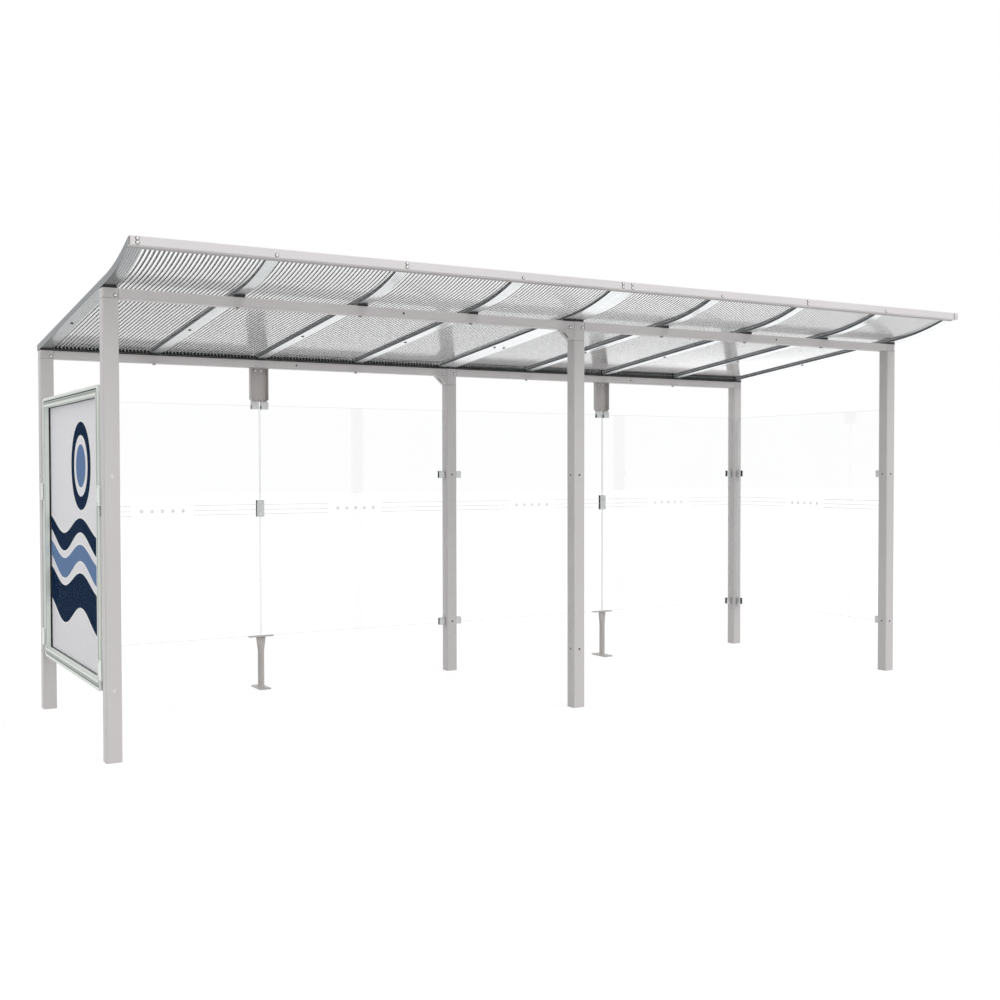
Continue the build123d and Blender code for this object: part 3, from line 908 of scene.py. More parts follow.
@dataclass(frozen=True)
class RoofLine:
    """Line that the roof follows: straight from the rear, then an arc that bends up to the front.

    A height is measured square to the underside of the glazing bars.
    """

    site: Site
    pad: float = 0.0013
    bend_start: float = 0.05
    depth: float = 0.034
    radius: float = 1.534
    rear_overhang: float = 0.02

    @property
    def slope(self) -> float:
        """Gives the slope of the straight part, in radians."""
        return math.atan2(self.fall, self.run_length)

    @property
    def fall(self) -> float:
        """Gives the fall from the top of the front beam to the top of the rear beam."""
        return self.site.top[Row.FRONT] - self.site.top[Row.REAR]

    @property
    def run_length(self) -> float:
        """Gives the level distance over which the roof falls by that much."""
        front, rear = self.site.face[Row.FRONT], self.site.face[Row.REAR]
        return rear[0] - front[0] + (front[1] - front[0]) - self.site.post

    def underside(self, y: float) -> float:
        """Gives the height of the straight underside of the bars at a depth."""
        lead = self.site.face[Row.FRONT][1] - y
        return self.site.top[Row.FRONT] + self.pad + lead * self.fall / self.run_length

    def sweep(self, heights: Array, front_y: float, setback: float = 0.0, arc: int = 16) -> Array:
        """Runs points along the roof line from the rear to an upright plane at the front.

        The straight part is the rear end plus the height along the normal plus the way gone
        forward. The arc is its centre less (radius less height) times (sine, cosine) of an angle
        that grows from the slope to where that height meets the front plane.

        Args:
            heights: Height of each point over the underside.
            front_y: Depth of the front plane.
            setback: Distance that the rear end is set forward along the slope.
            arc: Steps in the arc.

        Returns:
            Depth and height of each point at each step, steps by points by two.
        """
        sine, cosine = math.sin(self.slope), math.cos(self.slope)
        heights = np.asarray(heights, float)
        rear_y = self.site.face[Row.REAR][1] + self.rear_overhang - self.depth * sine
        bend_y = self.site.face[Row.FRONT][0] - self.bend_start - self.depth * sine
        rear = np.array((rear_y, self.underside(rear_y)))
        bend = np.array((bend_y, self.underside(bend_y)))
        normal, forward = np.array((sine, cosine)), np.array((-cosine, sine))
        rear = rear + setback * forward
        share = np.array((0.0, 0.5))[:, None, None]     # the straight part is in two steps
        line = rear + share * (bend - rear) + heights[None, :, None] * normal
        centre = bend + self.radius * normal
        reach = self.radius - heights
        last = np.arcsin((centre[0] - front_y) / reach)
        angle = self.slope + np.linspace(0.0, 1.0, arc + 1)[:, None] * (last - self.slope)
        turn = np.stack((np.sin(angle), np.cos(angle)), axis=-1)
        return np.concatenate((line, centre - reach[None, :, None] * turn))

    def carry(
        self, x: Array, heights: Array, front_y: float, setback: float = 0.0, arc: int = 16
    ) -> Array:
        """Runs points as sweep does, each at its own place along the length."""
        path = self.sweep(heights, front_y, setback, arc)
        return np.concatenate((np.broadcast_to(x, path.shape[:2])[..., None], path), axis=-1)


def softened(outline: Array, radius: float) -> Array:
    """Rounds the corners of an outline.

    Each corner becomes three points: one back along the edge before it, one on along the edge
    after it, and between them a quarter of both and half of the corner.

    Args:
        outline: Points in rows of two.
        radius: Distance back and on from each corner, at most nearly half of the edge there.

    Returns:
        Three times as many points, in rows of two.
    """
    most = 0.45     # share of an edge that one corner may take
    cuts = []
    for step in (1, -1):
        edge = np.roll(outline, step, axis=0) - outline
        size = np.linalg.norm(edge, axis=1, keepdims=True)
        cuts.append(outline + edge / size * np.minimum(radius, most * size))
    start, stop = cuts
    middle = 0.25 * start + 0.5 * outline + 0.25 * stop
    return np.stack((start, middle, stop), axis=1).reshape(-1, 2)


# ---- steel frame -----------------------------


@dataclass
class SteelFrame:
    """Posts, heads, gussets, beams and fascia tubes, with their screws, plugs and seams."""

    site: Site
    bar_places: list[float]
    head_inset: float = 0.014
    head_drop: float = 0.031
    end_inset: float = 0.026
    end_drop: float = 0.034
    rivet: tuple[float, float] = (0.0055, 0.003)
    beam_start: float = 0.07
    rivet_offset: float = 1.402
    rivet_drop: float = 0.0225
    under_bolt: tuple[float, float] = (0.0095, 0.0075)
    under_room: float = 0.1
    plug_levels: tuple[float, float] = (0.322, 1.276)
    seam_height: float = 0.0012
    seam_proud: float = 0.0003
    seam_corner: float = 0.006
    bolt: tuple[float, float] = (0.0072, 0.0046)
    # dark washer under each bolt head: a ring of painted shadow
    washer: tuple[float, float] = (0.0088, 0.0012)
    fascia_levels: tuple[float, float] = (0.009, -0.008)
    bolt_shift: float = 0.0028

    def build(self) -> None:
        """Dresses the tubes and adds what is fixed to them."""
        starts = ("post_front", "post_rear", "post_heads", "beam_", "gussets", "fascia_")
        dress([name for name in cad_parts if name.startswith(starts)], PAINT)
        # The fascia takes the lighter copy of the paint: painted light.
        dress(("fascia_left", "fascia_right"), FASCIA_PAINT_LIT)
        self.build_head_bolts()
        self.build_beam_rivets()
        self.build_underside_bolts()
        self.build_fascia_bolts()
        self.build_plugs()
        self.build_seams()

    def add_bolts(
        self, surface: Surface, places: Sequence[Sequence[float]], normal: Array
    ) -> None:
        """Adds dome bolts on dark washers, whose black ring round each head is painted shadow.

        Args:
            surface: Mesh that they are added to.
            places: Centre of each on the face.
            normal: Direction that the face looks in.
        """
        # The black rubber washer stands for painted shadow round the head.
        add_heads(surface, places, normal, *self.washer, HeadStyle.WASHER, 1)
        raised = [np.asarray(place, float) + normal * self.washer[1] for place in places]
        add_heads(surface, raised, normal, *self.bolt)

    def build_head_bolts(self) -> None:
        """Adds the bolt through the face of each head, and those at the ends of the left beams."""
        heads = Surface()
        for row in Row:
            top = self.site.top[row]
            inset = self.site.post - self.head_inset
            spots = [(left + inset, top - self.head_drop) for left in self.site.column.values()]
            spots.append((-self.end_inset, top - self.end_drop))
            for face, normal in zip(self.site.face[row], (-Y_AXIS, Y_AXIS)):
                self.add_bolts(heads, [(x, face, z) for x, z in spots], normal)
        heads.build("head_bolts", [SCREW, RUBBER], Slot.ZINC)

    def build_beam_rivets(self) -> None:
        """Adds the dark rivet in the middle of the face of each beam."""
        rivets = Surface()
        for row in Row:
            level = self.site.top[row] - self.rivet_drop
            for start in (self.site.column[Column.LEFT] + self.beam_start, self.beam_start):
                place = (start + self.rivet_offset, self.site.face[row][0], level)
                add_heads(rivets, [place], -Y_AXIS, *self.rivet)
        rivets.build("beam_rivets", [DARK_SCREW], Slot.ZINC)

    def build_underside_bolts(self) -> None:
        """Adds the hexagon bolts that hold the bars down, under the beams.

        The bars over a post have none, nor at the rear have those over a hanger.
        """
        bolts = Surface()
        half = self.site.post / 2
        posts = [left + half for left in self.site.column.values()]
        hangers = (-JOINT_X, JOINT_X)
        for row in Row:
            level = corners(f"beam_{row.value}_left")[0][2]
            taken = posts if row is Row.FRONT else [*posts, *hangers]
            places = [
                (x, self.site.middle(row), level)
                for x in self.bar_places
                if min(abs(x - spot) for spot in taken) > self.under_room
            ]
            add_heads(bolts, places, -Z_AXIS, *self.under_bolt, HeadStyle.HEX)
        bolts.build("underside_bolts", [UNDER_SCREW], Slot.ZINC)

    def build_fascia_bolts(self) -> None:
        """Adds one or two dome bolts in the face of the fascia tube at each bar."""
        bolts = Surface()
        low, high = corners("fascia_left")
        middle = (low[2] + high[2]) / 2
        for number, x in enumerate(self.bar_places, 1):
            x += BAR_SIDES.get(number, 0) * self.bolt_shift
            rises = self.fascia_levels if number in DOUBLE_BOLTS else self.fascia_levels[1:]
            places = [(x, low[1], middle + rise) for rise in rises]
            self.add_bolts(bolts, places, -Y_AXIS)
        bolts.build("fascia_bolts", [SCREW, RUBBER], Slot.ZINC)

    def build_plugs(self) -> None:
        """Adds plugs in the spare clip holes: pale ones in the first post, dark in the others."""
        pale, dark = Surface(), Surface()
        half = self.site.post / 2
        for row in Row:
            for place, left in self.site.column.items():
                first = row is Row.FRONT and place is Column.LEFT
                surface = pale if first else dark
                centre = np.array((left + half, self.site.middle(row), 0.0))
                for normal in (-Y_AXIS, Y_AXIS, -X_AXIS, X_AXIS):
                    if self.is_clipped(row, place, normal):
                        continue
                    places = [centre + normal * half + Z_AXIS * z for z in self.plug_levels]
                    self.add_plugs(surface, places, normal)
        pale.build("pale_plugs", [PALE_PLUG, PALE_PLUG], Slot.FRAME)
        dark.build("dark_plugs", [PALE_PLUG, PLUG], Slot.RUBBER)

    def is_clipped(self, row: Row, place: Column, normal: Array) -> bool:
        """Says whether that face of a post carries glass clips or lugs instead of plugs.

        Args:
            row: Row of the post.
            place: Column of the post.
            normal: Direction that the face looks in.

        Returns:
            True where something else is fixed there.
        """
        outer = {Column.LEFT: -1, Column.RIGHT: 1}.get(place, 0)
        inner = 1 if row is Row.FRONT else -1
        if normal[0]:
            return row is Row.REAR and normal[0] != outer
        return place is Column.RIGHT and normal[1] == inner

    def add_plugs(self, surface: Surface, places: Sequence[Array], normal: Array) -> None:
        """Adds a thin rim and a low cap in it at each place.

        The rim is a turned ring that rises 1 mm, and the cap a disc inside it.

        Args:
            surface: Mesh that they are added to.
            places: Centres on the face.
            normal: Direction that the face looks in.
        """
        rim = ((0.0085, 0.0), (0.0083, 0.0008), (0.0072, 0.0010), (0.0062, 0.0006))
        cap = ((0.0055, 0.0009), (0.0, 0.0011))
        profile = lathe(np.array((*rim, *cap)), 20)
        for place in places:
            points = placed(profile, place, np.roll(normal, 1), normal)
            surface.turned(points, np.array((0, 0, 0, 1, 1)))

    def build_seams(self) -> None:
        """Adds the dark joint that shows between each head and its post."""
        seams = Surface()
        width = self.site.post + self.seam_proud
        outer = rounded_outline(width, width, self.seam_corner)
        for row in Row:
            for place, left in self.site.column.items():
                joint = corners(f"post_{row.value}_{place.value}")[1][2]
                level = joint - self.seam_height / 2
                centre = (left + self.site.post / 2, self.site.middle(row), level)
                prism(seams, [outer], self.seam_height, centre, X_AXIS, Z_AXIS)
        seams.build("head_seams", [PLUG], Slot.RUBBER)


# ---- roof ------------------------------------


@dataclass
class GlazingBars:
    """Ten extruded bars that follow the roof line, with fine grooves along their underside."""

    line: RoofLine
    chamber: float = 0.014
    wall: float = 0.0022
    pocket: float = 0.017
    cap: float = 0.003
    web: float = 0.004
    groove: float = 0.0026
    groove_depth: float = 0.0012
    grooves: int = 5
    lip: float = 0.0060
    step: float = 0.0007
    edge: float = 0.0008
    cap_half: float = 0.013
    arc: int = 20

    def outline(self, width: float, side: int) -> tuple[Array, Array]:
        """Gives the section of a bar: grooved foot, web and cap.

        Args:
            width: Width of the bar.
            side: Where the web stands, -1 at the left edge, 0 in the middle or 1 at the right.

        Returns:
            Its points in rows of offset and height, and the finish of the edge after each: 0 for
            the metal, 1 for the sides, painted darker as shade, 2 for the lining of the pocket,
            painted pale as light against the shade there, and 3 for the grooves, painted darker as
            shade.
        """
        half = width / 2
        pitch = width / (self.grooves + 1)
        centres = (np.arange(self.grooves) - (self.grooves - 1) / 2) * pitch
        step = np.array((-0.5, -0.22, 0.22, 0.5)) * self.groove
        groove_x = (centres[:, None] + step).ravel()
        groove_z = np.tile((0.0, self.groove_depth, self.groove_depth, 0.0), self.grooves)
        foot = np.stack((groove_x, groove_z), axis=1)
        web_x = side * (half - self.web / 2)
        top, neck = self.chamber + self.pocket, half - self.step
        sides = []
        for way, nearer in ((1, min), (-1, max)):
            web_edge = web_x + way * self.web / 2
            cap_edge = nearer(way * half, web_x + way * self.cap_half)
            foot_side = ((way * half, 0.0), (way * half, self.lip))
            neck_side = ((way * neck, self.lip + self.step), (way * neck, self.chamber))
            web_side = ((web_edge, self.chamber), (web_edge, top))
            cap_side = ((cap_edge, top), (cap_edge, top + self.cap))
            sides.append((*foot_side, *neck_side, *web_side, *cap_side))
        rise = np.array((*sides[0], *sides[1][::-1]))
        apart = np.linalg.norm(rise - np.roll(rise, 1, axis=0), axis=1) > WELD
        points = np.concatenate((foot, softened(rise[apart], self.edge)))
        middles = (points + np.roll(points, -1, axis=0)) / 2
        x, z = np.abs(middles[:, 0]), middles[:, 1]
        slack = 1e-4
        marks = np.zeros(len(points), int)
        # Marks 1 and 3 pick painted shade for the sides and grooves, mark 2 painted light for the
        # pocket lining.
        marks[(x > neck - slack) & (z > self.step)] = 1
        marks[(x < neck - self.step) & (z > self.chamber - slack) & (z < top + slack)] = 2
        marks[: len(foot) - 1][z[: len(foot) - 1] > SPECK] = 3
        return points, marks

    def build(self) -> list[float]:
        """Builds each bar in place of its node.

        Returns:
            The middle of each bar along the length.
        """
        front_y = corners("fascia_left")[1][1]
        places = []
        for number in range(1, 11):
            node = f"glazing_bar_{number}"
            low, high = corners(node)
            x = (low[0] + high[0]) / 2
            half = (high[0] - low[0]) / 2 - self.wall
            floor, ceiling = self.wall, self.chamber - self.wall
            hollow = np.array(((-half, floor), (half, floor), (half, ceiling), (-half, ceiling)))
            section, marks = self.outline(high[0] - low[0], BAR_SIDES.get(number, 0))
            rings = [self.carry(loop, x, front_y) for loop in (section, hollow)]
            bar = Surface()
            bar.grid(rings[0], close_columns=True, mark=marks)
            bar.grid(rings[1], close_columns=True)
            for end in (0, -1):
                bar.cap([ring[end] for ring in rings])
            # Bar 1 takes lighter copies of the painted shade on its sides and grooves.
            sides = (BAR_END_SIDE_PAINTED_SHADE, BAR_GROOVE_PAINTED_SHADE) if number == 1 else (BAR_SIDE_PAINTED_SHADE, PALE_GROOVE_PAINTED_SHADE)
            finishes = [BAR_METAL, sides[0], BAR_LINING_PAINTED_LIGHT, sides[1]]
            bar.build(f"bar_{number}", finishes, Slot.BAR, [node])
            places.append(x)
        return places

    def carry(self, loop: Array, x: float, front_y: float) -> Array:
        """Carries a section of the bar at x along the roof line to the front plane."""
        return self.line.carry(x + loop[:, 0], loop[:, 1], front_y, arc=self.arc)


@dataclass
class RibbedSheets:
    """Eight clear sheets of two skins joined by close upright webs, bent to the roof line."""

    line: RoofLine
    pitch: float = 0.0201
    skin: float = 0.0012
    web: float = 0.0009
    thickness: float = 0.016
    lift: float = 0.0143
    fillet: float = 0.0036
    setback: float = 0.0018
    front_gap: float = 0.002

    def build(self) -> None:
        """Builds each sheet in place of its node.

        Each cell is a rectangle carried along the roof line, and the outline is carried round
        them all, so that what is left is one solid. The floor of a cell is in three columns: the
        fillets at the foot of its two webs, painted dark as painted shade for the light that they
        turn aside, and the gap between.
        """
        front_y = corners("fascia_left")[1][1] + self.front_gap
        floor, ceiling = self.lift + self.skin, self.lift + self.thickness - self.skin
        for number in range(1, 9):
            node = f"roof_sheet_{number}"
            low, high = corners(node)
            width = high[0] - low[0]
            cells = round((width - self.web) / self.pitch)
            pitch = (width - self.web) / cells
            left = low[0] + self.web + np.arange(cells) * pitch
            right = left + pitch - self.web
            sheet = Surface()
            skin = self.carry((low[0], high[0]), self.lift, self.lift + self.thickness, front_y)
            sheet.grid(skin, close_columns=True, mark=np.array((0, 1, 0, 1)))
            rings = [
                self.carry((a, a + self.fillet, b - self.fillet, b), floor, ceiling, front_y)
                for a, b in zip(left, right)
            ]
            for ring in rings:
                sheet.grid(ring, close_columns=True, mark=np.array((3, 4, 3, 1, 2, 1)))
            for end in (0, -1):
                sheet.cap([skin[end]] + [ring[end] for ring in rings], 1)
            sheet.build(f"sheet_{number}", [SKIN, SHADED_WEB, SHADED_INNER, SHADED_RIB, GAP], Slot.SHEET, [node])

    def carry(
        self, across: Sequence[float], floor: float, ceiling: float, front_y: float
    ) -> Array:
        """Carries a rectangle along the roof line.

        Args:
            across: Points of its lower side along the length, from left to right.
            floor: Height of its lower side.
            ceiling: Height of its upper side.
            front_y: Depth of the front plane.

        Returns:
            Grid of points, steps by corners by three.
        """
        x = np.array((*across, across[-1], across[0]))
        heights = np.array((floor,) * len(across) + (ceiling, ceiling))
        return self.line.carry(x, heights, front_y, self.setback)


@dataclass
class Roof:
    """Bars, sheets, pads and closers, with the screws, the front flanges and the rear seal."""

    line: RoofLine
    bars: GlazingBars
    sheets: RibbedSheets
    screw_y: float = 0.255
    screw: tuple[float, float] = (0.0082, 0.0042)
    flange_steps: int = 32
    flange_drops: tuple[float, float] = (-0.0002, -0.0018)
    flange_proud: float = 0.0003
    flange_inset: float = 0.001
    seal_inset: float = 0.003
    shaded_seal_foot: float = 0.0058
    seal_foot_depth: float = 0.012
    seal_band: float = 0.0055
    seal_tooth: float = 0.0145
    seal_tooth_depth: float = 0.003
    seal_lean: float = 0.004
    painted_reflection_strip: tuple[float, float] = (0.004, 0.008)
    seal_reach: float = 0.014
    seal_gap: float = 0.0004
    seal_edges: tuple[float, float] = (0.0008, 0.0004)
    seal_clearances: tuple[float, float] = (0.0006, 0.0008)

    def build(self) -> list[float]:
        """Builds the roof.

        Returns:
            The middle of each bar along the length.
        """
        places = self.bars.build()
        self.sheets.build()
        dress(("wedge_pads_front", "wedge_pads_rear"), PAD_RUBBER)
        # The closers take the near-black finish: painted shade.
        dress(("sheet_closers",), CLOSER_PAINTED_SHADE)
        self.build_screws(places)
        self.build_flanges()
        self.build_seal()
        return places

    def build_flanges(self) -> None:
        """Adds the flange of each fascia that the front ends of the bars rest on, in the darker
        copy of the paint as painted shade.
        """
        front_y = corners("fascia_left")[1][1] + self.flange_proud
        path = self.line.sweep(np.array(self.flange_drops), front_y, arc=self.flange_steps)
        outline = np.stack((path[-2, 0], path[-2, 1], path[-1, 1], path[-1, 0]))
        flanges = Surface()
        for node in ("fascia_left", "fascia_right"):
            low, high = corners(node)
            places = (low[0] + self.flange_inset, high[0] - self.flange_inset)
            flanges.tube(np.stack([np.column_stack((np.full(4, x), outline)) for x in places]))
        flanges.build("fascia_flanges", [SHADED_PAINT], Slot.FRAME)

    def build_seal(self) -> None:
        """Adds the rear seal of each sheet: a dark foot on the beam, partly a lip and partly
        painted shadow, a pale strip on the beam that is a painted reflection, and a comb.

        The comb is a low rail with a tooth under each cell of the sheet. A tooth is a leaning
        four-sided block, the same one set along the comb by the pitch.
        """
        foot, strip, teeth = Surface(), Surface(), Surface()
        beam = corners("beam_rear_left")
        front, level = beam[0][1] + self.seal_inset, beam[1][2]
        strip_near, strip_far = (front + depth for depth in self.painted_reflection_strip)
        comb = front - self.seal_reach
        strip_gap, comb_gap = self.seal_clearances
        top = self.line.underside(strip_far) + self.sheets.lift - strip_gap
        tip = self.line.underside(comb) + self.sheets.lift - comb_gap
        base = level + self.shaded_seal_foot
        root = base + self.seal_band
        half, lean = self.seal_tooth / 2, self.seal_lean / 2
        x = np.array((-half + lean, half + lean, half - lean, -half - lean))
        outline = np.column_stack((x, np.array((0.0, 0.0, 1.0, 1.0)) * (tip - root)))
        foot_edge, edge = self.seal_edges
        for number in range(1, 9):
            bar = number + (number > 4)
            left = corners(f"glazing_bar_{bar}")[1][0] + self.seal_gap
            right = corners(f"glazing_bar_{bar + 1}")[0][0] - self.seal_gap
            end = (right, front + self.seal_foot_depth, base)
            # The dark foot is partly the closer's lip and partly painted shadow on the beam; the
            # pale strip is a painted reflection.
            add_block(foot, (left, front, level + HAIR), end, foot_edge)
            add_block(strip, (left, strip_near, base), (right, strip_far, top), edge)
            count = int((right - left) / self.sheets.pitch)
            start = (left + right) / 2 - (count - 1) / 2 * self.sheets.pitch
            for place in start + np.arange(count) * self.sheets.pitch:
                origin = (place, comb, root)
                prism(teeth, [outline], self.seal_tooth_depth, origin, X_AXIS, -Y_AXIS)
            near = (left, comb - self.seal_tooth_depth, base)
            add_block(teeth, near, (right, comb, root + HAIR), edge)
        foot.build("shaded_seal_foot", [PAD_RUBBER], Slot.RUBBER)
        strip.build("painted_reflection_strip", [REFLECTION_STRIP], Slot.CLOSER)
        teeth.build("seal_teeth", [SEAL_RUBBER], Slot.RUBBER)

    def build_screws(self, places: Sequence[float]) -> None:
        """Adds a dome screw to the underside of each bar, square to the slope."""
        slope = self.line.slope
        down = -np.array((0.0, math.sin(slope), math.cos(slope)))
        profile = lathe(disc_profile(*self.screw))
        level = self.line.underside(self.screw_y)
        screws = Surface()
        for x in places:
            screws.turned(placed(profile, (x, self.screw_y, level), X_AXIS, down))
        screws.build("bar_screws", [DARK_SCREW], Slot.ZINC)


# ---- glazing ---------------------------------


def upright(outline: Array, across: Array) -> Array:
    """Stands an outline up, with its first axis along a direction."""
    return np.outer(outline[:, 0], across) + np.outer(outline[:, 1], Z_AXIS)


@dataclass
class GlassWalls:
    """Panels of the rear and the end, with arrissed edges and thin frosted lines."""

    chamfer: float = 0.0008
    line_levels: tuple[float, float, float] = (1.044, 1.070, 1.100)
    line_height: float = 0.004
    line_corner: float = 0.0015
    panel_corner: float = 0.003
    film: float = 0.0002
    film_gap: float = 0.0001
    end_inset: float = 0.004
    gap: float = 0.36
    disc_radius: float = 0.011
    discs: int = 5

    def build(self) -> None:
        """Builds the panels, and their film as one piece."""
        film = Surface()
        panels = {f"glass_rear_{number}": f"pane_rear_{number}" for number in range(1, 5)}
        for node, name in {**panels, "glass_end": "pane_end"}.items():
            low, high = corners(node)
            along_x = high[0] - low[0] > high[1] - low[1]
            across = X_AXIS if along_x else Y_AXIS
            self.build_panel(node, name, across)
            self.add_film(film, low, high, across)
        film.build("frosted_lines", [FILM], Slot.GLASS)

    def build_panel(self, node: str, name: str, across: Array) -> None:
        """Builds one panel in place of its node.

        Its four rings are the outline at each face, set in by the chamfer, and the whole outline
        just inside them.

        Args:
            node: Its CAD node.
            name: Name of the piece.
            across: Direction that it runs in.
        """
        low, high = corners(node)
        size = high - low
        normal = np.cross(across, Z_AXIS)
        width, depth = size @ across, size @ np.abs(normal)
        chamfer = self.chamfer
        insets = (chamfer, 0.0, 0.0, chamfer)
        lifts = np.array((0.0, chamfer, depth - chamfer, depth)) - depth / 2
        rings = []
        for inset, lift in zip(insets, lifts):
            corner = self.panel_corner - inset
            flat = rounded_outline(width - 2 * inset, size[2] - 2 * inset, corner)
            rings.append((low + high) / 2 + upright(flat, across) + lift * normal)
        panel = Surface()
        panel.grid(np.stack(rings), close_columns=True, mark=1)
        for end in (0, -1):
            panel.cap([rings[end]])
        panel.build(name, [GLASS, GLASS_EDGE], Slot.GLASS, [node])

    def add_film(self, film: Surface, low: Array, high: Array, across: Array) -> None:
        """Adds three frosted lines to a panel, with a row of discs in the gap of the middle one.

        Args:
            film: Mesh that it is added to.
            low: Lowest corner of the panel.
            high: Its highest corner.
            across: Direction that it runs in.
        """
        other = Y_AXIS if across is X_AXIS else X_AXIS
        start, stop = low @ across, high @ across
        face = other * (low @ other)
        middle = (start + stop) / 2
        halves = (
            (start + self.end_inset, middle - self.gap / 2),
            (middle + self.gap / 2, stop - self.end_inset),
        )
        for level in self.line_levels:
            for left, right in halves:
                outline = rounded_outline(right - left, self.line_height, self.line_corner, 2)
                centre = across * (left + right) / 2 + face + Z_AXIS * level
                self.add_decal(film, outline, centre, across)
        turn = full_turn(32)
        disc = self.disc_radius * np.stack((np.cos(turn), np.sin(turn)), axis=1)
        places = (np.arange(self.discs) - (self.discs - 1) / 2) * self.gap / (self.discs + 1)
        for place in places:
            centre = across * (middle + place) + face + Z_AXIS * self.line_levels[1]
            self.add_decal(film, disc, centre, across)

    def add_decal(self, film: Surface, outline: Array, centre: Array, across: Array) -> None:
        """Adds one flat decal that stands a hair proud of the glass.

        Args:
            film: Mesh that it is added to.
            outline: Its outline in rows of two.
            centre: Its centre on the glass.
            across: Direction of the outline's first axis.
        """
        flat = centre + upright(outline, across)
        other = Y_AXIS if across is X_AXIS else X_AXIS
        shifts = (-self.film_gap * other, -(self.film_gap + self.film) * other)
        film.tube(np.stack([flat + shift for shift in shifts]))


@dataclass(frozen=True)
class Spot:
    """Where a clamp sits: a place in the middle of the glass and the direction along it."""

    origin: Sequence[float]
    across: Array


